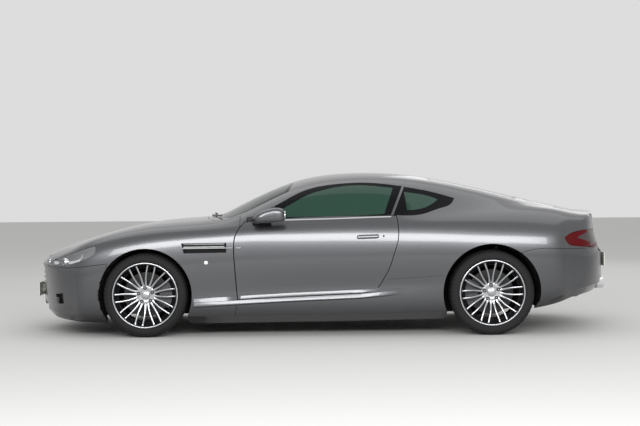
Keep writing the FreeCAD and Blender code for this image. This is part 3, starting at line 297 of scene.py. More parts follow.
# Outlines seen from the side (x, z) and, as halves, from above (x, half width) or from an end
# (half width, z); the third number marks a corner.
SIDE_OUTLINES = {
    "door": [
        (-600, 905, True), (-664, 820, False), (-684, 716, False), (-679, 578, False),
        (-667, 417, False), (-657, 297, True), (299, 340, True), (431, 370, False),
        (491, 449, False), (539, 538, False), (575, 647, False), (605, 743, False),
        (611, 863, False), (600, 946, True), (-265, 932, False)],
    "door_glass": [
        (-590, 912, True), (-470, 974, False), (-325, 1048, False), (-123, 1149, False),
        (122, 1197, False), (370, 1207, False), (654, 1178, True), (556, 952, True),
        (-265, 935, False)],
    "quarter_glass": [
        (674, 1174, True), (790, 1155, False), (910, 1129, False), (1078, 1080, True),
        (1050, 1040, False), (955, 1002, False), (820, 960, False), (578, 952, True)],
    "front_bumper": [
        (-2500, 60, True), (-1690, 60, True), (-1690, 585, True), (-2010, 549, True),
        (-2225, 553, True), (-2225, 800, True), (-2500, 800, True)],
    "rear_bumper": [
        (2600, 60, True), (1560, 60, True), (1560, 640, True), (1620, 662, False),
        (1956, 675, False), (2100, 673, True), (2400, 672, True), (2600, 672, True)],
    "front_wing": [
        (-2300, 100, True), (-689, 100, True), (-662, 297, True), (-672, 417, False),
        (-684, 578, False), (-689, 716, False), (-669, 820, False), (-640, 866, True),
        (-640, 1000, True), (-2300, 1000, True)],
    "headlamp": [
        (-2208, 580, True), (-2140, 607, False), (-2065, 637, False), (-1987, 664, False),
        (-1890, 695, False), (-1782, 728, True), (-1776, 694, False), (-1795, 654, False),
        (-1829, 632, False), (-1887, 611, False), (-1959, 588, False), (-2049, 568, False),
        (-2140, 564, False)],
    "tail_lamp": [
        (1930, 763, True), (1975, 790, False), (2029, 807, False), (2100, 817, False),
        (2172, 822, True), (2420, 832, True), (2420, 690, True), (2172, 686, True),
        (2090, 688, False), (2027, 695, False), (1965, 712, False)],
    "vent": [
        (-1099, 742, True), (-746, 744, True), (-746, 668, True), (-1080, 664, True)],
    "side_slot": [
        (-2124, 338, True), (-2066, 345, True), (-2060, 262, True), (-2118, 256, True)],
    "door_clear": [
        (-345, 985, True), (-262, 1030, False), (-200, 1064, False), (-110, 1112, False),
        (0, 1148, False), (130, 1176, False), (370, 1188, False), (584, 1166, True),
        (506, 962, True), (300, 953, False), (0, 947, False), (-345, 941, True)],
    "quarter_clear": [
        (672, 1136, True), (760, 1122, False), (856, 1103, False), (940, 1071, True),
        (879, 1030, False), (788, 998, False), (690, 990, True)],
    "tail_insert": [
        (2040, 760, True), (2085, 782, False), (2420, 790, True), (2420, 746, True),
        (2110, 738, False)],
}
HALF_OUTLINES = {
    "bonnet": [
        (-2262, 0, False), (-2252, 240, False), (-2222, 400, False), (-2160, 490, False),
        (-2050, 548, False), (-1900, 590, False), (-1650, 636, False), (-1390, 664, False),
        (-1100, 690, False), (-850, 705, True), (-893, 560, False), (-935, 300, False),
        (-948, 0, False)],
    "cowl": [
        (-2262, 0, True), (-2255, 235, False), (-2227, 395, False), (-2165, 484, False),
        (-2050, 542, False), (-1900, 584, False), (-1650, 630, False), (-1390, 658, False),
        (-1100, 684, False), (-850, 699, True), (-600, 760, True), (-600, 0, True)],
    "boot_lid": [
        (1695, 0, False), (1700, 250, False), (1715, 480, False), (1760, 526, False),
        (1900, 520, False), (2100, 508, False), (2190, 502, False), (2420, 486, True),
        (2420, 0, True)],
    "windscreen": [
        (-872, 0, False), (-860, 300, False), (-812, 560, False), (-726, 698, True),
        (-600, 688, False), (-430, 650, False), (-258, 590, True), (-232, 420, False),
        (-215, 200, False), (-210, 0, False)],
    "rear_window": [
        (862, 0, False), (868, 200, False), (890, 420, True), (1100, 452, False),
        (1340, 468, False), (1590, 470, True), (1635, 250, False), (1648, 0, False)],
    "grille": [
        (0, 582, False), (180, 578, False), (330, 560, False), (404, 522, False),
        (404, 440, False), (350, 335, False), (290, 302, True), (0, 298, True)],
    "intake": [
        (0, 262, False), (300, 256, False), (430, 236, True), (412, 206, False),
        (300, 192, True), (0, 188, True)],
}
BOOT_LID_LOW = 826.0
DECK_LOW = 560.0
NOSE_FROM = -2150.0
TAIL_FROM = 2160.0
# Lengthwise run, in metres, of the cuts beside the tail lamps and under the boot lid.
LID_RUN = (2.2, 2.3545)
SCREEN_BORDER = 34.0
REAR_BORDER = 30.0
TAIL_LAMP_INNER = 500.0
ROUND = 1.6
SEAM = 1.2 + ROUND
LAMP_LINE = 1.5 + ROUND
SHUT_LINE = 4.5 + ROUND
# Widest place of the section, above which plan outlines apply.
V_PLAN = 5.5 / (2 * ROWS - 4)
# The mesh of the skin: spacing lengthwise, scale of v against metres, and how close to a cut
# no other point stands.
STEP = 0.02
STRETCH = 4.0
CELL = 0.012
# From here on a point is on the centre line, or on the tail's end face.
CENTRE_V = 0.4999
END_U = 0.9999


def spline(points, spacing):
    """Natural cubic spline through points by chord length, sampled about every spacing."""
    points = np.array(points, float)
    chord = np.concatenate([[0.0], np.cumsum(np.linalg.norm(np.diff(points, axis=0), axis=1))])
    n = len(points)
    if n == 2:
        count = max(int(chord[-1] / spacing), 1)
        return points[0] + (points[1] - points[0]) * np.linspace(0, 1, count + 1)[:, None]
    h = np.diff(chord)
    matrix = np.eye(n)
    rhs = np.zeros((n, points.shape[1]))
    for i in range(1, n - 1):
        matrix[i, i - 1:i + 2] = (h[i - 1], 2.0 * (h[i - 1] + h[i]), h[i])
        rhs[i] = 6.0 * ((points[i + 1] - points[i]) / h[i]
                        - (points[i] - points[i - 1]) / h[i - 1])
    second = np.linalg.solve(matrix, rhs)
    at = np.linspace(0.0, chord[-1], max(int(chord[-1] / spacing), 2 * n) + 1)
    i = np.clip(np.searchsorted(chord, at, side="right") - 1, 0, n - 2)
    a = ((chord[i + 1] - at) / h[i])[:, None]
    b = 1.0 - a
    return (a * points[i] + b * points[i + 1]
            + ((a ** 3 - a) * second[i] + (b ** 3 - b) * second[i + 1])
            * (h[i] ** 2 / 6.0)[:, None])


def closed_loop(outline, spacing=10.0):
    """Closed polyline of an outline whose points are (first, second, corner)."""
    first = next(k for k, point in enumerate(outline) if point[2])
    turned = outline[first:] + outline[:first + 1]
    pieces = []
    run = [turned[0][:2]]
    for point in turned[1:]:
        run.append(point[:2])
        if point[2]:
            pieces.append(spline(run, spacing)[:-1])
            run = [point[:2]]
    return np.concatenate(pieces)


def grown(loop, distance):
    """Closed polyline moved outwards by distance, with mitred corners."""
    if distance == 0.0:
        return loop
    after = np.roll(loop, -1, axis=0) - loop
    after /= np.linalg.norm(after, axis=1)[:, None]
    before = np.roll(after, 1, axis=0)
    area = np.sum(loop[:, 0] * np.roll(loop[:, 1], -1) - np.roll(loop[:, 0], -1) * loop[:, 1])
    turn = 1.0 if area > 0 else -1.0
    n0 = np.stack([before[:, 1], -before[:, 0]], 1) * turn
    n1 = np.stack([after[:, 1], -after[:, 0]], 1) * turn
    middle = n0 + n1
    scale = np.maximum(np.sum(middle * n0, axis=1), 0.5)
    return loop + middle / scale[:, None] * distance


def inside(loop, points):
    """Whether each point lies in the closed polyline."""
    result = np.zeros(len(points), bool)
    x, y = points.T
    for (x0, y0), (x1, y1) in zip(loop, np.roll(loop, -1, axis=0)):
        if y0 != y1:
            result ^= ((y0 > y) != (y1 > y)) & (x < (x1 - x0) * (y - y0) / (y1 - y0) + x0)
    return result


def solve_end(y, z, end):
    """u and v of the nose (end 0) or tail (end 1) point with half width y and height z."""
    low, high = (0.0, 0.12) if end == 0 else (0.86, 1.0)
    gu, gv = np.meshgrid(np.linspace(low, high, 90), np.linspace(0.0, 0.5, 180), indexing="ij")
    gu, gv = gu.ravel(), gv.ravel()
    near = surface(OUTER, gu, gv)
    best = [np.argmin((-near[:, 1] - a) ** 2 + (near[:, 2] - b) ** 2) for a, b in zip(y, z)]
    u, v = gu[best], gv[best]
    e = 1e-5 if end == 0 else -1e-5
    for _ in range(8):
        p = surface(OUTER, u, v)
        pu = (surface(OUTER, u + e, v) - p) / e
        pv = (surface(OUTER, u, v + 1e-5) - p) / 1e-5
        ry = -y - p[:, 1]
        rz = z - p[:, 2]
        det = pu[:, 1] * pv[:, 2] - pv[:, 1] * pu[:, 2]
        det = np.where(np.abs(det) < 1e-9, 1e-9, det)
        u = np.clip(u + (ry * pv[:, 2] - rz * pv[:, 1]) / det, low, high)
        v = np.clip(v + (pu[:, 1] * rz - pu[:, 2] * ry) / det, 0.0, 0.5)
    return u, v


def to_surface(kind, loop):
    """u, v of an outline's points on the left half, and which of them lie on it."""
    first, second = loop[:, 0] / 1000.0, loop[:, 1] / 1000.0
    if kind in ("front", "rear"):
        u, v = solve_end(np.maximum(first, 0.0), second, 0 if kind == "front" else 1)
        return u, v, (first >= -1e-6) & (v > 0.0)
    keep = np.abs(first) < HALF_LENGTH - 1e-4
    if kind == "plan":
        keep &= second >= -1e-6
    target = first.copy()
    for _ in range(12 if np.abs(first).max() > 1.8 else 1):
        u = u_at(target)
        if kind == "side":
            v = v_at(u, second, 2)
        else:
            v = v_at(u, np.maximum(second, 0.0), 1, V_PLAN)
        target = np.clip(target + first - surface(OUTER, u, v)[:, 0],
                         -HALF_LENGTH, HALF_LENGTH)
    return u, v, keep


# The outlines as closed polylines. Half outlines are completed by their image across zero of the
# second number; for the grille and the intake that half lies below the ground and cuts nothing.
LOOPS = {name: closed_loop(outline) for name, outline in SIDE_OUTLINES.items()}
for name, outline in HALF_OUTLINES.items():
    LOOPS[name] = closed_loop(outline + [(a, -b, end) for a, b, end in reversed(outline) if b])
LOOPS["windscreen_clear"] = grown(LOOPS["windscreen"], -SCREEN_BORDER)
LOOPS["rear_clear"] = grown(LOOPS["rear_window"], -REAR_BORDER)
for name, x, y, radius, count in (("arch_front", -1390.0, 333.0, 370.0, 180),
                                  ("arch_rear", 1350.0, 335.0, 386.0, 180),
                                  ("exhaust_notch", 400.0, 372.0, 54.0, 60)):
    LOOPS[name] = np.array([(x + radius * math.cos(a), y + radius * math.sin(a))
                            for a in np.linspace(0, 2 * math.pi, count, endpoint=False)])

# Zones cut from the surface, first match first: name, kind, least half width, play inside the
# line and play outside it, in millimetres.
ZONES = [
    ("arch_front", "side", 300.0, 0.0, ROUND), ("arch_rear", "side", 300.0, 0.0, ROUND),
    ("vent", "side", 300.0, 0.0, ROUND), ("grille", "front", 0.0, 0.0, ROUND),
    ("exhaust_notch", "rear", 0.0, 0.0, ROUND), ("intake", "front", 0.0, 0.0, ROUND),
    ("side_slot", "side", 300.0, 0.0, ROUND), ("windscreen_clear", "plan", 0.0, 0.0, 0.0),
    ("rear_clear", "plan", 0.0, 0.0, 0.0), ("quarter_clear", "side", 400.0, 0.0, 0.0),
    ("door_clear", "side", 400.0, 0.0, 0.0), ("tail_insert", "side", 500.0, 0.0, 0.0),
    ("windscreen", "plan", 0.0, 0.8, 1.2), ("rear_window", "plan", 0.0, 0.8, 1.2),
    ("quarter_glass", "side", 400.0, 0.8, 1.2), ("door_glass", "side", 400.0, 0.8, 3.5),
    ("door", "side", 400.0, ROUND, SHUT_LINE), ("bonnet", "plan", 0.0, ROUND, SHUT_LINE),
    ("boot_lid", "plan", 0.0, ROUND, SHUT_LINE), ("headlamp", "side", 400.0, 1.0, LAMP_LINE),
    ("tail_lamp", "side", 500.0, 1.0, LAMP_LINE), ("front_bumper", "side", 0.0, SEAM, SEAM),
    ("rear_bumper", "side", 0.0, SEAM, SEAM), ("front_wing", "side", 300.0, SEAM, SEAM)]


def in_zone(zone, points, play):
    """Points of the left half that lie in a zone grown by play (negative: shrunk)."""
    name, kind, least = zone[:3]
    x, y, z = points[:, 0] * 1000.0, points[:, 1] * -1000.0, points[:, 2] * 1000.0
    flat = np.stack({"side": (x, z), "plan": (x, y)}.get(kind, (y, z)), 1)
    result = inside(grown(LOOPS[name], play), flat) & (y > least - (play if least else 0.0))
    if kind == "plan":
        low = BOOT_LID_LOW if name == "boot_lid" else DECK_LOW
        result &= z > max(low - play, DECK_LOW)
    elif kind == "front":
        result &= x < NOSE_FROM
    elif kind == "rear":
        result &= x > TAIL_FROM
    if name == "front_wing":
        result &= ~(inside(grown(LOOPS["cowl"], -play), np.stack([x, y], 1)) & (z > DECK_LOW))
    return result


def chains():
    """Every line that the surface is cut along, as u, v polylines."""
    lines = []
    cuts = [(kind, grown(LOOPS[name], play)) for name, kind, _, play_in, play_out in ZONES
            for play in ((-play_in, play_out) if play_out else (-play_in,))]
    cuts += [("plan", grown(LOOPS["cowl"], play)) for play in (-SEAM, SEAM)]
    for kind, loop in cuts:
        u, v, keep = to_surface(kind, np.vstack([loop, loop[:1]]))
        turns = np.flatnonzero(np.diff(np.concatenate([[0], keep, [0]])))
        lines += [(u[start:end], v[start:end]) for start, end in zip(turns[::2], turns[1::2])
                  if end - start > 1]
    for count, axis, low, values in (
            (40, 1, V_PLAN, (TAIL_LAMP_INNER + 1.0, TAIL_LAMP_INNER - LAMP_LINE)),
            (60, 2, 0.0, (BOOT_LID_LOW + ROUND, BOOT_LID_LOW - SHUT_LINE))):
        u = u_at(np.linspace(*LID_RUN, count))
        lines += [(u, v_at(u, value / 1000.0, axis, low)) for value in values]
    return lines


def cut_surface():
    """Triangles of the left half, cut along every line, with a zone label for each triangle."""
    def cell_of(a, b):
        return math.floor(a / CELL), math.floor(b / CELL)

    lines = [(np.interp(u, _table_u, _table_x), v * STRETCH) for u, v in chains()]
    crossed = set()
    for a, b in lines:
        for k in range(len(a) - 1):
            da, db = a[k + 1] - a[k], b[k + 1] - b[k]
            steps = max(int(max(abs(da), abs(db)) / (CELL / 2.0)), 1)
            crossed.update(cell_of(a[k] + da * m / steps, b[k] + db * m / steps)
                           for m in range(steps + 1))
    xs = np.arange(-HALF_LENGTH, HALF_LENGTH + 1e-4, STEP)
    gu = np.unique(np.concatenate([u_at(xs), [0.0, 1.0]]))
    uu, vv = np.meshgrid(gu, np.linspace(0.0, 0.5, 97), indexing="ij")
    uu, vv = uu.ravel(), vv.ravel()
    rims = (uu <= 0.0) | (uu >= 1.0) | (vv <= 0.0) | (vv >= 0.5)
    coords = [Vector((a, b)) for a, b, rim in
              zip(np.interp(uu, _table_u, _table_x), vv * STRETCH, rims)
              if rim or cell_of(a, b) not in crossed]
    edges = []
    for a, b in lines:
        edges += [(k, k + 1) for k in range(len(coords), len(coords) + len(a) - 1)]
        coords += [Vector(p) for p in zip(a, b)]
    verts, _, faces = delaunay_2d_cdt(coords, edges, [], 0, 1e-6)[:3]
    flat = np.array([tuple(p) for p in verts])
    u = np.interp(flat[:, 0], _table_x, _table_u)
    v = np.clip(flat[:, 1] / STRETCH, 0.0, 0.5)
    faces = np.array([f for f in faces if len(f) == 3])
    p, q, r = flat[faces[:, 0]], flat[faces[:, 1]], flat[faces[:, 2]]
    area = (q - p)[:, 0] * (r - p)[:, 1] - (r - p)[:, 0] * (q - p)[:, 1]
    faces, area = faces[np.abs(area) > 1e-9], area[np.abs(area) > 1e-9]
    faces[area < 0] = faces[area < 0][:, ::-1]
    centre = surface(OUTER, u[faces].mean(1), v[faces].mean(1))
    label = np.full(len(faces), "", dtype=object)
    free = np.ones(len(faces), bool)
    for zone in ZONES:
        name, play_in, play_out = zone[0], zone[3], zone[4]
        body = in_zone(zone, centre, -play_in) & free
        band = in_zone(zone, centre, play_out) & free
        label[band] = "gap"
        label[body] = name
        free &= ~band
    label[free] = "body_shell"
    return u, v, faces, label


SKIN_U, SKIN_V, SKIN_FACES, SKIN_LABEL = cut_surface()


def panel_data(names, low, high, edge_round=ROUND):
    """Closed left-hand piece of the skin zones: points, normals and faces.

    low and high give the outer and inner face for arrays u, v; each returns points, normals.
    """
    used, faces = np.unique(SKIN_FACES[np.isin(SKIN_LABEL, names)], return_inverse=True)
    faces = faces.reshape(-1, 3)
    u, v = SKIN_U[used], SKIN_V[used]
    top, top_n = low(u, v)
    under, under_n = high(u, v)
    count = len(used)
    points, shading = [top, under], [top_n, -under_n]
    polygons = list(faces) + list(faces[:, ::-1] + count)
    directed = dict.fromkeys((s, e) for a, b, c in faces for s, e in ((a, b), (b, c), (c, a)))
    rim = [(s, e) for s, e in directed if (e, s) not in directed
           and min(v[s], v[e]) < CENTRE_V and min(u[s], u[e]) < END_U]
    ends = sorted({i for pair in rim for i in pair})
    slot = {i: k for k, i in enumerate(ends)}
    out = np.zeros((len(ends), 3))
    for s, e in rim:
        push = np.cross(top[e] - top[s], top_n[s])
        length = np.linalg.norm(push)
        if length > 1e-12:
            out[slot[s]] += push / length
            out[slot[e]] += push / length
    out[v[ends] >= CENTRE_V, 1] = 0.0
    out -= np.sum(out * top_n[ends], axis=1)[:, None] * top_n[ends]
    out /= np.maximum(np.linalg.norm(out, axis=1), 1e-9)[:, None]
    r = edge_round / 1000.0
    angles = (0.0, 30.0, 60.0, 90.0)
    for angle in angles:
        c, s = math.cos(math.radians(angle)), math.sin(math.radians(angle))
        points.append(top[ends] + out * r * s - top_n[ends] * r * (1 - c))
        shading.append(top_n[ends] * c + out * s)
    points.append(under[ends] + out * r)
    shading.append(out)
    for ring in range(len(angles)):
        a = 2 * count + ring * len(ends)
        b = a + len(ends)
        polygons += [(a + slot[e], a + slot[s], b + slot[s], b + slot[e]) for s, e in rim]
    return np.concatenate(points), np.concatenate(shading), polygons


def skin_face(depth):
    """The body surface moved in by depth millimetres."""
    def face(u, v):
        n = normals(OUTER, u, v)
        return surface(OUTER, u, v) - n * depth / 1000.0, n
    return face


def plate_faces(depth, thick=5.0, edge_round=0.8):
    """Both faces of a plate that lies depth under the skin, and the rounding of its edge."""
    return skin_face(depth), skin_face(depth + thick), edge_round


def back_faces(depth):
    """The same for the thin back of an opening or a lamp."""
    return plate_faces(depth, 3.0, 0.5)


def inside_face(u, v):
    return surface(INNER, u, v), normals(INNER, u, v)


def mirrored(points, shading, polygons):
    flip = np.array([1.0, -1.0, 1.0])
    return points * flip, shading * flip, [tuple(reversed(f)) for f in polygons]


def join_mirrored(points, shading, polygons):
    """A left-hand piece and its mirror image as one."""
    other = mirrored(points, shading, polygons)
    return (np.concatenate([points, other[0]]), np.concatenate([shading, other[1]]),
            polygons + [tuple(i + len(points) for i in f) for f in other[2]])


def linked(name, data):
    obj = bpy.data.objects.new(name, data)
    bpy.context.scene.collection.objects.link(obj)
    return obj


def smooth_mesh(name, points, polygons, looks):
    mesh = bpy.data.meshes.new(name)
    mesh.from_pydata([tuple(p) for p in points], [], [tuple(map(int, f)) for f in polygons])
    mesh.polygons.foreach_set("use_smooth", [True] * len(mesh.polygons))
    mesh.update()
    for look in looks:
        mesh.materials.append(look)
    return linked(name, mesh)


def attach(obj, body, node):
    """Lets a piece ride on a body and hides the node that it replaces."""
    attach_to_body(obj, body)
    if node:
        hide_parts(node)


# Materials.
def noise_texture(tree, scale, detail=2.0):
    """Noise over the object's own coordinates."""
    coords = tree.nodes.new("ShaderNodeTexCoord")
    texture = tree.nodes.new("ShaderNodeTexNoise")
    texture.inputs["Scale"].default_value = scale
    texture.inputs["Detail"].default_value = detail
    tree.links.new(coords.outputs["Object"], texture.inputs["Vector"])
    return texture.outputs["Fac"]


def material(name, color, roughness=0.5, metallic=0.0, coat=0.0, alpha=1.0, noise=0.03,
             grain=(60.0, 3.0), spread=(0.0, 1.0), bump=0.0, bump_scale=300.0, specular=0.5,
             mottle=0.0):
    """Material whose roughness varies by noise; grain is the noise's scale and detail."""
    mat = bpy.data.materials.new(name)
    mat.use_nodes = True
    tree = mat.node_tree
    shader = tree.nodes["Principled BSDF"]
    ramp = tree.nodes.new("ShaderNodeMapRange")
    for node, values in (
            (shader, {"Base Color": (*color, 1.0), "Roughness": roughness, "Metallic": metallic,
                      "Coat Weight": coat, "Alpha": alpha, "Specular IOR Level": specular}),
            (ramp, {"From Min": spread[0], "From Max": spread[1],
                    "To Min": max(roughness - noise, 0.0), "To Max": min(roughness + noise, 1.0)})):
        for socket, value in values.items():
            node.inputs[socket].default_value = value
    texture = noise_texture(tree, *grain)
    tree.links.new(texture, ramp.inputs["Value"])
    tree.links.new(ramp.outputs["Result"], shader.inputs["Roughness"])
    if mottle:
        shade = tree.nodes.new("ShaderNodeMix")
        shade.data_type = "RGBA"
        for socket, share in (("A", 1.0 - mottle), ("B", 1.0 + mottle)):
            shade.inputs[socket].default_value = (*(c * share for c in color), 1.0)
        tree.links.new(texture, shade.inputs["Factor"])
        tree.links.new(shade.outputs["Result"], shader.inputs["Base Color"])
    if bump:
        height = tree.nodes.new("ShaderNodeBump")
        height.inputs["Strength"].default_value = bump
        height.inputs["Distance"].default_value = 0.001
        tree.links.new(noise_texture(tree, bump_scale), height.inputs["Height"])
        tree.links.new(height.outputs["Normal"], shader.inputs["Normal"])
    return mat


PAINT = material("body_paint", (0.116, 0.118, 0.125), 0.305, 0.95, coat=0.6, noise=0.055,
                 grain=(2500.0, 1.0), spread=(0.35, 0.65))
GLASS_DARK = material("tinted_glass", (0.010, 0.030, 0.022), 0.02, alpha=0.86, noise=0.01)
GLASS_SCREEN = material("screen_glass", (0.012, 0.030, 0.022), 0.02, alpha=0.74, noise=0.01)
GLASS_SIDE = material("side_glass", (0.008, 0.044, 0.028), 0.015, alpha=0.84, noise=0.01)
FRIT = material("black_border", (0.006, 0.006, 0.007), 0.12, specular=0.06)
LAMP_CLEAR = material("lamp_cover", (0.70, 0.72, 0.75), 0.02, alpha=0.12, noise=0.01)
LAMP_RED = material("red_lens", (0.085, 0.0006, 0.002), 0.16, specular=0.15)
LAMP_INSERT = material("lamp_insert", (0.055, 0.045, 0.047), 0.12, specular=0.3)
LAMP_DARK = material("lamp_dark", (0.03, 0.03, 0.033), 0.25, 0.4)
REFLECTOR = material("lamp_reflector", (0.80, 0.81, 0.83), 0.16, 1.0)
MARKER = material("side_marker", (0.80, 0.80, 0.78), 0.15, coat=1.0)
BLACK_TRIM = material("black_trim", (0.012, 0.012, 0.013), 0.38)
BLACK_MATT = material("underbody_black", (0.008, 0.008, 0.008), 0.75, specular=0.2, mottle=0.3)
CHROME = material("chrome_trim", (0.82, 0.83, 0.84), 0.08, 1.0, noise=0.02)
SATIN = material("satin_trim", (0.36, 0.365, 0.37), 0.30, 0.9)
ALLOY = material("wheel_alloy", (0.46, 0.47, 0.49), 0.28, 0.9, coat=0.6)
# The rim barrel's near-black colour is painted shade inside the wheel, between the spokes.
BARREL_PAINTED_SHADE = material("rim_barrel", (0.045, 0.045, 0.048), 0.42, 0.9)
RUBBER = material("tyre_rubber", (0.012, 0.012, 0.0125), 0.70, bump=0.15, specular=0.25,
                  mottle=0.35)
# The disc iron is darkened below its own grey: partly the iron's colour, partly painted shade
# between the spokes.
DISC_IRON_AND_SHADE = material("disc_iron", (0.045, 0.045, 0.046), 0.46, 1.0, mottle=0.25)
CAST = material("cast_metal", (0.09, 0.09, 0.095), 0.55, 0.8, mottle=0.3)
STEEL = material("exhaust_steel", (0.42, 0.41, 0.40), 0.32, 1.0, mottle=0.15)
PLATE = material("plate_face", (0.83, 0.82, 0.74), 0.3)
CABIN = material("cabin_plastic", (0.022, 0.021, 0.021), 0.6, bump=0.25, bump_scale=900.0,
                 mottle=0.2)
LEATHER = material("seat_leather", (0.035, 0.032, 0.031), 0.5, bump=0.3, bump_scale=500.0,
                   mottle=0.3)
HEADLINER = material("headliner", (0.05, 0.05, 0.048), 0.9, bump=0.3, bump_scale=1200.0,
                     mottle=0.15)

# The nodes that are shown as they come.
for look, nodes in (
        (BLACK_MATT, "grille floor_pan wheelhouses wing_vents"), (STEEL, "exhaust"),
        (CAST, "engine front_suspension rear_axle knuckle_front_left knuckle_front_right"),
        (CABIN, "dashboard"), (LEATHER, "steering_wheel"), (PLATE, "number_plates"),
        (BLACK_TRIM, "wipers"), (DISC_IRON_AND_SHADE, "brake_disc_front_left brake_disc_front_right "
                                            "brake_disc_rear_left brake_disc_rear_right")):
    for node in nodes.split():
        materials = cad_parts[node].data.materials
        materials.clear()
        materials.append(look)


# Painted panels and glass.
def skin_piece(name, looks, faces, body, node=None, lining=None, side="both"):
    """Closed piece over zones of the skin: looks gives each zone's material."""
    zones = list(looks)
    data = panel_data(zones, *faces)
    labels = [zones.index(label) for label in SKIN_LABEL if label in zones]
    under = [len(zones)] * len(labels) if lining else labels
    marks = labels + under + [0] * (len(data[2]) - 2 * len(labels))
    if side == "both":
        data, marks = join_mirrored(*data), marks + marks
    elif side == "right":
        data = mirrored(*data)
    obj = smooth_mesh(name, data[0], data[2], [*looks.values()] + [lining] * bool(lining))
    obj.data.normals_split_custom_set_from_vertices([tuple(n) for n in data[1]])
    obj.data.polygons.foreach_set("material_index", marks)
    obj.data.update()
    attach(obj, body, node)


PANEL = (skin_face(0.0), inside_face, ROUND)
PANE = plate_faces(2.0)
LENS = plate_faces(0.0, 4.0)
for node, body, lining in (("front_bumper", "body", BLACK_MATT),
                           ("rear_bumper", "body", BLACK_MATT),
                           ("body_shell", "body", HEADLINER), ("bonnet", "bonnet", BLACK_MATT),
                           ("boot_lid", "boot_lid", BLACK_MATT)):
    skin_piece("skin_" + node, {node: PAINT}, PANEL, body, node, lining)
for name, looks, faces, slot, node in (
        ("intake_back", {"intake": BLACK_MATT}, back_faces(24.0), "black_plastic", None),
        ("slot_back", {"side_slot": BLACK_MATT}, back_faces(16.0), "black_plastic", None),
        ("vent_back", {"vent": BLACK_MATT}, back_faces(14.0), "black_plastic", None),
        ("pane_windscreen", {"windscreen_clear": GLASS_SCREEN, "windscreen": FRIT}, PANE,
         "clear_glass", "windscreen"),
        ("pane_rear", {"rear_clear": GLASS_DARK, "rear_window": FRIT}, PANE, "tinted_glass",
         "rear_window"),
        ("pane_quarters", {"quarter_clear": GLASS_SIDE, "quarter_glass": FRIT}, PANE,
         "tinted_glass", "quarter_windows"),
        ("lens_head", {"headlamp": LAMP_CLEAR}, LENS, "lamp_glass", "headlamps"),
        ("bucket_head", {"headlamp": LAMP_DARK}, back_faces(38.0), "lamp_glass", None),
        ("lens_tail", {"tail_lamp": LAMP_RED, "tail_insert": LAMP_INSERT}, LENS, "red_lens",
         "tail_lamps"),
        ("bucket_tail", {"tail_lamp": LAMP_DARK, "tail_insert": LAMP_DARK}, back_faces(24.0),
         "red_lens", None)):
    skin_piece(name, looks, faces, "body", node)
for word in ("left", "right"):
    door = "door_" + word
    skin_piece("skin_wing_" + word, {"front_wing": PAINT}, PANEL, "body",
               "front_wing_" + word, BLACK_MATT, word)
    skin_piece("skin_" + door, {"door": PAINT}, PANEL, door, door, CABIN, word)
    skin_piece("pane_" + door, {"door_clear": GLASS_SIDE, "door_glass": FRIT}, PANE, door,
               "door_glass_" + word, None, word)


# Free-standing pieces.
def add_piece(name, piece, look, body, node=None, angle=35.0):
    """Piece shaded smooth except at edges sharper than angle."""
    obj = smooth_mesh(name, *piece, [look])
    work = bmesh.new()
    work.from_mesh(obj.data)
    bmesh.ops.remove_doubles(work, verts=work.verts, dist=1e-7)
    bmesh.ops.recalc_face_normals(work, faces=work.faces)
    work.to_mesh(obj.data)
    work.free()
    obj.data.set_sharp_from_angle(angle=math.radians(angle))
    obj.data.update()
    attach(obj, body, node)
    return obj


def metres(points):
    return [tuple(c / 1000.0 for c in p) for p in points]


def moved(piece, dx, dy, dz):
    return [(x + dx, y + dy, z + dz) for x, y, z in piece[0]], piece[1]


def merged(pieces):
    points, faces = [], []
    for p, f in pieces:
        base = len(points)
        points.extend(p)
        faces.extend(tuple(i + base for i in face) for face in f)
    return points, faces


def mesh_over(rows, ring=False, closed=False, capped=False):
    """Points and faces over rows of equal length.

    ring joins the last row to the first, closed joins the ends of each row, and capped closes
    the two ends of a ring of open rows.
    """
    count = len(rows[0])
    points = [tuple(p) for row in rows for p in row]
    faces = []
    for a in range(len(rows) if ring else len(rows) - 1):
        b = (a + 1) % len(rows)
        for i in range(count if closed else count - 1):
            j = (i + 1) % count
            faces.append((a * count + i, a * count + j, b * count + j, b * count + i))
    if capped:
        faces.append(tuple(a * count for a in range(len(rows))))
        faces.append(tuple(a * count + count - 1 for a in reversed(range(len(rows)))))
    return points, faces


def loft(rings):
    """Points and faces of a capped tube through rings that have equal numbers of points."""
    points, faces = mesh_over(rings, closed=True)
    count = len(rings[0])
    return points, faces + [tuple(reversed(range(count))),
                            tuple(range(len(points) - count, len(points)))]


def lathe(profile, segments, closed=True, blocks=()):
    """Points and faces of a profile of (radius, z) turned round local Z.

    blocks names the points of the profile that are let in at every fourth segment.
    """
    rows = []
    for k in range(segments):
        a = 2.0 * math.pi * k / segments
        radii = [r - TREAD_CUT * (k % 4 == 0 and j in blocks) for j, (r, z) in enumerate(profile)]
        rows.append([(r * math.sin(a), r * math.cos(a), z) for r, (_, z) in zip(radii, profile)])
    return mesh_over(rows, ring=True, closed=closed)


def add_sides(name, piece, look, bodies):
    """The same piece on both sides; bodies is one body or the pair (left, right)."""
    other = [(x, -y, z) for x, y, z in piece[0]], piece[1]
    if isinstance(bodies, str):
        add_piece(name, merged([piece, other]), look, bodies)
    else:
        add_piece(name + "_left", piece, look, bodies[0])
        add_piece(name + "_right", other, look, bodies[1])


# Wheels. A spoke's section: share of the width, share of the depth below its outboard face.
SPOKE_SECTION = [(-0.5, 1.0), (-0.5, 0.30), (-0.36, 0.06), (-0.12, 0.0), (0.12, 0.0),
                 (0.36, 0.06), (0.5, 0.30), (0.5, 1.0)]
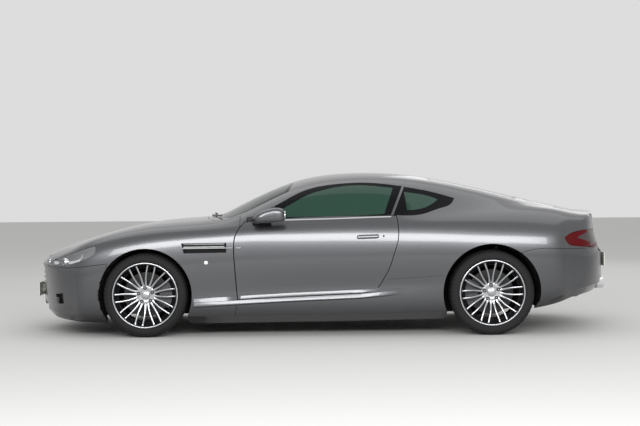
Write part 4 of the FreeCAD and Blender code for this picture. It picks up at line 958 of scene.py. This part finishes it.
# Along a spoke: radius, offset from the middle of its pair, rise from hub to rim (0 to 1),
# width, depth.
SPOKE_PATH = [
    (0.060, 0.0120, 0.00, 0.024, 0.026), (0.076, 0.0138, 0.05, 0.0225, 0.027),
    (0.095, 0.0176, 0.20, 0.0185, 0.028), (0.120, 0.0225, 0.44, 0.0158, 0.027),
    (0.150, 0.0266, 0.66, 0.0136, 0.025), (0.185, 0.0288, 0.84, 0.0134, 0.023),
    (0.220, 0.0294, 0.95, 0.0138, 0.022), (0.238, 0.0294, 0.99, 0.0150, 0.022),
    (0.2485, 0.0297, 1.15, 0.0190, 0.026)]
PAIRS = 10
SPOKE_ROOT = 0.0665
HUB = [(0.0, 0.038), (0.076, 0.038), (0.078, 0.055), (0.074, 0.0655), (0.066, 0.068),
       (0.048, 0.0665), (0.038, 0.0640), (0.0350, 0.0640), (0.0335, 0.0700), (0.0300, 0.0765),
       (0.0220, 0.0800), (0.0110, 0.0818), (0.0, 0.0825)]
BOLT_HEAD = [(0.0, 0.060), (0.0072, 0.060), (0.0072, 0.0712), (0.0060, 0.0724), (0.0, 0.0724)]
BOLT_SEAT = [(0.0, 0.060), (0.0150, 0.060), (0.0150, 0.0696), (0.0138, 0.0706),
             (0.0126, 0.0692), (0.0, 0.0686)]
BOLT_CIRCLE = 0.05715
BOLT_TURN = -4.5
# The rest of the wheel: radius, and distance from the rim's or the tyre's outboard (positive)
# or inboard (negative) side.
LIP = [(0.2475, 0.0122), (0.2490, 0.0060), (0.2510, 0.0043), (0.2560, 0.0040),
       (0.2590, 0.0055), (0.2585, 0.0115), (0.2500, 0.0130)]
BARREL = [
    (0.259, 0.006), (0.2590, 0.009), (0.2565, 0.0115), (0.243, 0.014), (0.243, 0.040),
    (0.223, 0.058), (0.223, -0.066), (0.243, -0.048), (0.243, -0.014), (0.2565, -0.0115),
    (0.259, -0.009), (0.259, -0.006), (0.252, -0.0055), (0.235, -0.012), (0.235, -0.050),
    (0.215, -0.068), (0.215, 0.060), (0.233, 0.042), (0.2365, 0.020), (0.243, 0.012),
    (0.2455, 0.0065), (0.249, 0.0048), (0.2555, 0.0045)]
BEAD = [(0.2435, 0.036), (0.2435, 0.0147), (0.2595, 0.0145), (0.2620, 0.0110),
        (0.2640, 0.0070), (0.2690, 0.0030), (0.2730, 0.0022), (0.2735, 0.0010),
        (0.2800, 0.0004), (0.2900, 0.0)]
# Shoulder and grooves: depth under the tread, and distance from the side or from the middle.
SHOULDER = [(0.030, 0.0012), (0.0290, 0.0022), (0.0200, 0.0050), (0.0120, 0.0105),
            (0.0060, 0.0180), (0.0025, 0.0270), (0.0010, 0.0370)]
GROOVE = [(0.0004, 0.0045), (0.0075, 0.0036), (0.0075, -0.0036), (0.0002, -0.0045)]
BLOCKS = (13, 14, 15, 16)
TREAD_CUT = 0.005


def from_side(profile, half):
    return [(r, half - z if z >= 0 else -z - half) for r, z in profile]


def spokes(half, phase):
    """Pairs of spokes that run from the hub outwards."""
    pieces = []
    for k in range(PAIRS):
        angle = math.radians(phase + 360.0 * k / PAIRS)
        s, c = math.sin(angle), math.cos(angle)
        for side in (-1.0, 1.0):
            rings = []
            for r, offset, rise, width, depth in SPOKE_PATH:
                top = SPOKE_ROOT + (half - 0.015 - SPOKE_ROOT) * rise
                across = [side * offset + share * width * (1.0 - 0.25 * (down > 0.9))
                          for share, down in SPOKE_SECTION]
                rings.append([(s * r + c * t, c * r - s * t, top - down * depth)
                              for t, (_, down) in zip(across, SPOKE_SECTION)])
            pieces.append(loft(rings))
    return pieces


def five(profile, segments):
    """A turned piece on each of the five places of the bolts."""
    angles = [math.radians(BOLT_TURN + 72.0 * k) for k in range(5)]
    return [moved(lathe(profile, segments, closed=False), BOLT_CIRCLE * math.sin(a),
                  BOLT_CIRCLE * math.cos(a), 0.0) for a in angles]


def tyre_profile(half, radius):
    outboard = from_side(BEAD, half) + [(radius - r, half - z) for r, z in SHOULDER]
    outboard += [(radius - r, z0 + z) for z0 in (half - 0.050, 0.022) for r, z in GROOVE]
    outboard.append((radius, 0.010))
    return outboard + [(r, -z) for r, z in reversed(outboard)]


for end, axle_x, height, track, half, phase in (("front", -1.390, 0.333, 0.784, 0.1175, 12.5),
                                                ("rear", 1.350, 0.335, 0.781, 0.1375, 14.5)):
    profile = tyre_profile(half, height)
    blocks = BLOCKS + tuple(len(profile) - 1 - j for j in BLOCKS)
    wheel = (
        ("fine_tyre_", [lathe(profile, 240, blocks=blocks)], RUBBER, "tyre_rubber", "tyre_", 40.0),
        ("rim_barrel_", [lathe(from_side(BARREL, half), 144)], BARREL_PAINTED_SHADE, "wheel_alloy", None,
         38.0),
        ("fine_rim_", [lathe(from_side(LIP, half), 144), lathe(HUB, 72, closed=False)]
         + spokes(half, phase), ALLOY, "wheel_alloy", "rim_", 38.0),
        ("bolts_", five(BOLT_HEAD, 6), STEEL, "disc_iron", None, 30.0),
        ("bolt_seats_", five(BOLT_SEAT, 28), BLACK_TRIM, "black_plastic", None, 30.0))
    for side, word in ((-1, "left"), (1, "right")):
        corner = "%s_%s" % (end, word)
        for name, pieces, look, slot, node, angle in wheel:
            points, faces = merged(pieces)
            placed = [(axle_x - side * x, side * (track + z), height + y) for x, y, z in points]
            add_piece(name + corner, (placed, faces), look, "wheel_" + corner,
                      node and node + corner, angle)


# Trim.
def on_skin(loop, lift):
    """Points of the left side under a loop's points, lift millimetres outside the skin."""
    u, v, _ = to_surface("side", np.asarray(loop, float))
    return surface(OUTER, u, v) + normals(OUTER, u, v) * np.reshape(lift, (-1, 1)) / 1000.0


def strip(outer, inner, depth, thick, closed=True):
    """Band under the skin between two polylines with equal numbers of points."""
    return mesh_over([on_skin(outer, -depth), on_skin(inner, -depth),
                      on_skin(inner, -depth - thick), on_skin(outer, -depth - thick)],
                     True, closed, not closed)


def blister(line, half_height, rise, power=4.0, sink=1.0):
    """Low rounded bar on the skin along a line of points, half_height to each side."""
    line = spline(line, 6.0)
    along_line = np.linspace(-1.0, 1.0, len(line))
    length = np.sum(np.linalg.norm(np.diff(line, axis=0), axis=1))
    end = np.clip((1.0 - np.abs(along_line)) * length / (2.0 * half_height), 0.0, 1.0)
    widths = half_height * np.sqrt(np.clip(1.0 - (1.0 - end) ** 2, 0.0004, 1.0))
    return mesh_over([
        on_skin(line + np.stack([np.zeros(len(line)), widths * t], 1),
                rise * (1.0 - abs(t) ** power) * (1.0 - (1.0 - end) ** power) - sink)
        for t in np.linspace(-1.0, 1.0, 9)])


DOORS = ("door_left", "door_right")
waist = spline([(-440, 917), (-265, 923), (120, 931), (360, 938), (560, 943)], 12.0)
add_sides("waist_strip", strip(waist, waist - [0.0, 9.0], -2.0, 3.0, False), CHROME, DOORS)
for name, line, shape, look, bodies, slot in (
        ("handle_groove", [(282, 781), (372, 784), (463, 787)], (19.5, 2.0, 12.0, 1.2),
         BLACK_TRIM, DOORS, "black_plastic"),
        ("handle_bar", [(286, 781), (372, 784), (459, 787)], (13.5, 6.0, 4.0, 0.5), PAINT, DOORS,
         "paint"),
        ("door_lock", [(486, 788), (506, 789)], (10.0, 2.5, 3.0, 0.5), LAMP_DARK, DOORS,
         "black_plastic"),
        ("strake_wing", [(-1100, 702), (-900, 703), (-692, 704)], (8.0, 12.0, 1.6, 1.0), CHROME,
         "body", "black_plastic"),
        ("strake_door", [(-676, 704), (-650, 704), (-624, 705)], (7.0, 8.0, 1.6, 1.0), CHROME,
         DOORS, "black_plastic"),
        ("side_marker", [(-922, 590), (-888, 590)], (15.0, 5.0, 6.0, 0.5), MARKER, "body",
         "lamp_glass")):
    add_sides(name, blister(line, *shape), look, bodies)

# Wing vents: a dark frame behind the opening, and a bar above the blade.
vent_loop = closed_loop(SIDE_OUTLINES["vent"], 8.0)
add_sides("vent_frame", strip(grown(vent_loop, -0.5), grown(vent_loop, -4.0), 1.0, 16.0),
          BLACK_MATT, "body")
upper = closed_loop([(-1082, 738, True), (-760, 739, True), (-760, 713, True),
                     (-1082, 712, True)], 8.0)
add_sides("vent_bar", strip(upper, upper * [1, 0] + [0, 725.5], 6.0, 4.0), SATIN, "body")

# Head lamps.
lamp_loop = closed_loop(SIDE_OUTLINES["headlamp"], 8.0)
add_sides("headlamp_wall", strip(grown(lamp_loop, -0.6), grown(lamp_loop, -3.0), 4.5, 36.0),
          LAMP_DARK, "body")


def lamp_ball(x, z, radius, look, name, depth):
    """Projector lens in a ring, looking outward from the lamp's inner face."""
    u, v, _ = to_surface("side", np.array([[x, z]], float))
    n = normals(OUTER, u, v)[0]
    centre = Vector(surface(OUTER, u, v)[0] - n * depth / 1000.0)
    turn = Vector((-0.86, n[1] * 0.5, 0.05)).normalized().to_track_quat("Z", "Y").to_matrix()
    ring = lathe([(radius, -0.02), (radius + 0.004, -0.02), (radius + 0.004, 0.012),
                  (radius, 0.010)], 40)
    dome = lathe([(radius, -0.004)] + [(radius * math.cos(a), radius * 0.6 * math.sin(a))
                                      for a in np.linspace(0.1, math.pi / 2, 8)], 40, closed=False)
    for part, (points, faces), skin in (("ring", ring, REFLECTOR), ("dome", dome, look)):
        placed = [tuple(centre + turn @ Vector(p)) for p in points]
        add_sides("%s_%s" % (name, part), (placed, faces), skin, "body")


lamp_ball(-2056, 600, 0.030, BLACK_TRIM, "lamp_low", 20.0)
lamp_ball(-2130, 588, 0.022, REFLECTOR, "lamp_high", 16.0)
for name, path, half in (
        ("lamp_front", [(-2178, 580), (-2140, 583), (-2105, 590)], 15.0),
        ("lamp_sweep", [(-2018, 592), (-1975, 598), (-1935, 606), (-1905, 620)], 12.5),
        ("lamp_bar", [(-1906, 622), (-1894, 650), (-1890, 682)], 8.0)):
    add_sides(name, blister(path, half, -4.0, 2.0, 12.0), REFLECTOR, "body")

# Mirrors: a rounded head on a dark foot.
MIRROR_RING = [(-533, 938), (-478, 984), (-405, 1010), (-330, 1019), (-288, 1002), (-277, 962),
               (-279, 924), (-330, 906), (-450, 902), (-520, 914)]
ring = spline(MIRROR_RING + MIRROR_RING[:1], 14.0)[:-1]
centre = np.array([-395.0, 958.0])
head = loft([metres((x, y, z) for x, z in centre + (ring - centre) * share) for y, share in
             ((-884, 0.62), (-889, 0.80), (-900, 0.92), (-925, 0.99), (-955, 1.0), (-975, 0.95),
              (-988, 0.84), (-996, 0.66), (-999, 0.40))])
foot = loft([metres([(x0, y, z0 + 8), (x0 + 20, y, z1), (x1 - 8, y, z1), (x1, y, z0 + 8),
                     (x1 - 20, y, z0), (x0 + 30, y, z0)]) for y, x0, x1, z0, z1 in
             ((-800, -560, -400, 880, 925), (-850, -540, -390, 886, 925),
              (-880, -520, -380, 896, 930), (-905, -500, -370, 905, 938))])
glass = loft([[(x, -0.940 + 0.047 * math.cos(a), 0.960 + 0.036 * math.sin(a))
               for a in np.linspace(0, 2 * math.pi, 36, endpoint=False)]
              for x in (-0.2755, -0.2815)])
for word, side in (("left", 1), ("right", -1)):
    for name, (points, faces), look, slot, node in (
            ("mirror_head_", head, PAINT, "paint", "mirror_" + word),
            ("mirror_foot_", foot, BLACK_TRIM, "black_plastic", None),
            ("mirror_glass_", glass, REFLECTOR, "clear_glass", None)):
        placed = [(x, side * y, z) for x, y, z in points]
        add_piece(name + word, (placed, faces), look, "door_" + word, node, 40.0)

# Nose and tail end faces, which close the skin.
for name, u, z_high, inward in (("nose_face", 0.0, 0.2975, 0.045),
                                ("tail_face", 1.0, 1.0, -0.045)):
    edge = surface(OUTER, np.full(120, u), np.linspace(0.0, 0.5, 120))
    edge = edge[edge[:, 2] <= z_high]
    outer = np.concatenate([edge, edge[::-1] * [1.0, -1.0, 1.0]])
    add_piece(name, loft([outer, outer + [inward, 0.0, 0.0]]), PAINT, "body")

# Grille: bright bars across the opening, following the nose in plan.
GRILLE_SIDE = sorted((z, y) for y, z, _ in HALF_OUTLINES["grille"][1:-1])
bars = []
for z in range(318, 572, 42):
    width = np.interp(z, *zip(*GRILLE_SIDE)) - 6.0
    ys = np.linspace(-width, width, 41)
    xs = np.interp(abs(ys), [0, 110, 220, 330, 412], [-2326, -2324, -2304, -2274, -2237])
    bars.append(mesh_over(
        [[(x / 1000.0 - dx, y / 1000.0, z / 1000.0 + dz) for x, y in zip(xs, ys)] for dx, dz in
         ((0.0, -0.007), (0.010, -0.006), (0.013, 0.0), (0.010, 0.006), (0.0, 0.007))], True))
add_piece("grille_bars", merged(bars), SATIN, "body")

# Exhaust tips.
points, faces = lathe([(0.0400, -0.052), (0.0445, -0.052), (0.0445, 0.0), (0.0430, 0.0022),
                       (0.0415, 0.0), (0.0400, -0.004)], 56)
tips = merged(([(2.318 + z, y + x, 0.372 + py) for x, py, z in points], faces)
              for y in (-0.400, 0.400))
add_piece("exhaust_tips", tips, CHROME, "body")


# Sill crease, quarter line and mirror sail.
def ridge(line, rows):
    """Raised fold along a line on the side: rows give height above the line and rise."""
    run = (line[:, 0] - line[0, 0]) / (line[-1, 0] - line[0, 0])
    fade = np.clip((1.0 - run) * 5.0, 0.02, 1.0)
    return mesh_over([on_skin(line + [0.0, height], rise * fade if rise > 0.0 else rise)
                      for height, rise in rows], ring=True, capped=True)


crease = spline([(-1004, 246), (-654, 264), (-166, 288), (227, 303), (384, 312), (526, 325),
                 (640, 338)], 8.0)
UPPER_ROWS = [(62, -0.4), (56, 0.5), (46, 2.6)]
for name, x_from, x_to, rows, bodies in (
        ("sill_crease", -1100.0, 700.0, [(26, 6.5), (18, 8.9), (8, 12.0), (1, 14.2), (-1, 14.4),
                                         (-4, 12.0), (-14, -1.5), (20, -1.5)], "body"),
        ("door_crease", -640.0, 470.0,
         UPPER_ROWS + [(38.5, 4.6), (38.5, -1.5), (60, -1.5)], DOORS),
        ("wing_crease", -1100.0, -692.0,
         UPPER_ROWS + [(29, 6.5), (29, -1.5), (60, -1.5)], "body")):
    part = crease[(crease[:, 0] > x_from) & (crease[:, 0] < x_to)]
    add_sides(name, ridge(part, rows), PAINT, bodies)
line = spline([(520, 446), (700, 458), (960, 474)], 14.0)
add_sides("quarter_line", strip(line + [0, 1.3], line - [0, 1.3], -0.4, 2.0, False), BLACK_TRIM,
          "body")
sail = closed_loop([(-592, 921, True), (-470, 978, True), (-352, 1032, True), (-346, 941, True),
                    (-440, 930, True)], 14.0)
add_sides("mirror_sail", strip(sail, grown(sail, -22.0), -1.0, 4.0), BLACK_TRIM, DOORS)


# Seats. Where the side bolsters begin, as a share of the half width, and how deep seams are.
BOLSTER = 0.56
SEAM_DEPTH = 5.0


def pad(name, profile, y, half, facing, sink, channels, side_round, node):
    """Padded piece: a side profile carried across, rounded at its sides, with sewn channels."""
    loop = spline(profile + profile[:1], 12.0)[:-1]
    inward = grown(loop, -1.0) - loop
    front = np.clip(-(inward @ np.asarray(facing, float)), 0.0, 1.0) ** 0.5
    step = np.linalg.norm(np.diff(np.vstack([loop, loop[:1]]), axis=0), axis=1)
    run = np.concatenate([[0.0], np.cumsum(step)[:-1]])
    rings = []
    for t in np.sin(np.linspace(-math.pi / 2, math.pi / 2, 41)):
        edge = (1.0 - abs(t)) * half
        short = max(side_round - edge, 0.0)
        drop = side_round - math.sqrt(max(side_round ** 2 - short ** 2, 0.0))
        middle = 1.0 / (1.0 + math.exp((abs(t) - BOLSTER) * 26.0))
        seam = SEAM_DEPTH * math.exp(-((abs(t) - BOLSTER) * half / 6.0) ** 2)
        depth = drop + front * (sink * middle + seam)
        for place in channels:
            depth += front * middle * SEAM_DEPTH * np.exp(-((run - place) / 7.0) ** 2)
        rings.append(metres((x, y + half * t, z) for x, z in loop + inward * depth[:, None]))
    obj = add_piece(name, loft(rings), LEATHER, "body", node, 60.0)


CUSHION = [(-256, 300), (-252, 392), (-200, 421), (0, 405), (240, 386), (318, 362), (322, 300),
           (100, 286)]
BACKREST = [(232, 350), (208, 402), (262, 650), (328, 922), (376, 946), (446, 926), (424, 700),
            (394, 350)]
HEADREST = [(352, 962), (366, 1070), (400, 1092), (444, 1068), (440, 962)]
REAR_CUSHION = [(564, 250), (566, 378), (602, 402), (890, 350), (930, 260)]
REAR_BACK = [(808, 360), (842, 600), (882, 884), (954, 890), (972, 360)]
for word, side in (("left", -1), ("right", 1)):
    for name, profile, y, half, facing, sink, channels, side_round, node in (
            ("cushion_", CUSHION, 370.0, 248.0, (0, 1), 20.0, (250, 330, 410, 490), 34.0,
             "front_seat_" + word),
            ("backrest_", BACKREST, 370.0, 246.0, (-1, 0), 24.0, (130, 220, 310, 400, 490), 38.0,
             None),
            ("headrest_", HEADREST, 370.0, 148.0, (-1, 0), 6.0, (), 30.0, None),
            ("rear_cushion_", REAR_CUSHION, 296.0, 168.0, (0, 1), 14.0, (200, 280), 30.0,
             "rear_seats" if side < 0 else None),
            ("rear_back_", REAR_BACK, 296.0, 168.0, (-1, 0), 14.0, (150, 240, 330), 30.0, None)):
        pad(name + word, profile, side * y, half, facing, sink, channels, side_round, node)
    base = [metres((x, side * 370.0 + dy, z) for x, dy in
                   ((-235, -215), (300, -215), (300, 215), (-235, 215))) for z in (206.0, 284.0)]
    add_piece("seat_base_" + word, loft(base), CABIN, "body")

# Cabin fittings: instrument hood, dials, vents, centre screen, gear lever and armrests.
hood = loft([metres((-600.0 + 160.0 * s, -370.0 + dy, 862.0 + high * math.sin(math.pi * s) ** 0.6)
                    for s in np.linspace(0.0, 1.0, 17)) for dy, high in
             ((-190, 6), (-182, 30), (-165, 44), (-120, 52), (0, 56), (120, 52), (165, 44),
              (182, 30), (190, 6))])
add_piece("instrument_hood", hood, CABIN, "body", angle=50.0)


def facing_driver(profile, x, y, z):
    """Turned piece whose local Z points back into the cabin, tilted up by 12 degrees."""
    points, faces = lathe(profile, 40)
    s, c = math.sin(math.radians(12.0)), math.cos(math.radians(12.0))
    return [(x + pz * c - py * s, y + px, z + pz * s + py * c) for px, py, pz in points], faces


DIAL_RING = [(0.036, 0.0), (0.043, 0.0), (0.043, 0.007), (0.040, 0.009), (0.036, 0.004)]
VENT_RING = [(0.024, 0.0), (0.034, 0.0), (0.034, 0.007), (0.031, 0.009), (0.024, 0.003)]
rings = [facing_driver(DIAL_RING, -0.444, -0.370 + dy, 0.815) for dy in (-0.052, 0.052)]
rings += [facing_driver(VENT_RING, -0.445, y, 0.800)
          for y in (-0.640, -0.085, 0.085, 0.330, 0.640)]
add_piece("dash_rings", merged(rings), SATIN, "body")
screen = [[(x, y, z) for y, z in ((-0.105, z0), (0.105, z0), (0.105, z1), (-0.105, z1))]
          for x, z0, z1 in ((-0.462, 0.655, 0.755), (-0.4455, 0.655, 0.755),
                            (-0.4440, 0.660, 0.750))]
add_piece("centre_screen", loft(screen), FRIT, "body")
knob = lathe([(0.0, 0.0), (0.034, 0.0), (0.030, 0.020), (0.012, 0.045), (0.010, 0.080),
              (0.024, 0.092), (0.027, 0.108), (0.020, 0.122), (0.0, 0.126)], 36, closed=False)
add_piece("gear_lever", moved(knob, -0.300, 0.0, 0.512), LEATHER, "body")
for word, side in (("left", -1), ("right", 1)):
    arm = [[(x, side * (0.660 + 0.110 * s), low + (high - low) * v) for s, v in
            ((0.10, 0.0), (0.0, 0.25), (0.0, 0.8), (0.12, 1.0), (1.0, 1.0), (1.0, 0.0))]
           for x, low, high in ((-0.330, 0.640, 0.660), (-0.300, 0.625, 0.690),
                                (-0.100, 0.620, 0.690), (0.200, 0.620, 0.690),
                                (0.300, 0.625, 0.690), (0.330, 0.640, 0.660))]
    add_piece("armrest_" + word, loft(arm), LEATHER, "door_" + word, angle=50.0)

# Floor, light and camera.
bpy.ops.mesh.primitive_plane_add(size=60.0, location=(0.0, 0.0, 0.0))
floor = bpy.context.object
floor.name = "studio_floor"
floor.data.materials.append(material("studio_floor", (0.56, 0.56, 0.55), 0.85))
for name, place, target, size, power in (
        ("sky_light", (0.6, 1.8, 7.5), (0.3, 0.8, 0.0), (13.0, 7.0), 180.0),
        ("side_light", (0.4, -8.5, 3.6), (0.0, 0.0, 0.7), (10.0, 2.2), 600.0),
        ("back_light", (4.0, 8.0, 4.0), (0.0, 0.0, 0.8), (6.0, 3.0), 50.0)):
    data = bpy.data.lights.new(name, "AREA")
    data.shape = "RECTANGLE"
    data.size, data.size_y = size
    data.energy = power
    aim = Vector(target) - Vector(place)
    light = linked(name, data)
    light.location = place
    light.rotation_euler = aim.to_track_quat("-Z", "Y").to_euler()
world = bpy.data.worlds.new("studio")
bpy.context.scene.world = world
world.use_nodes = True
background = world.node_tree.nodes["Background"]
background.inputs["Color"].default_value = (0.72, 0.72, 0.72, 1.0)
background.inputs["Strength"].default_value = 1.0
bpy.context.scene.view_settings.view_transform = "Standard"

lens = bpy.data.cameras.new("photo_camera")
lens.lens = 79.0
lens.sensor_width = 36.0
camera = linked("photo_camera", lens)
camera.location = (-0.002, -11.95, 1.25)
camera.rotation_euler = (math.radians(90.0 - 1.43), math.radians(0.46), 0.0)
bpy.context.scene.camera = camera
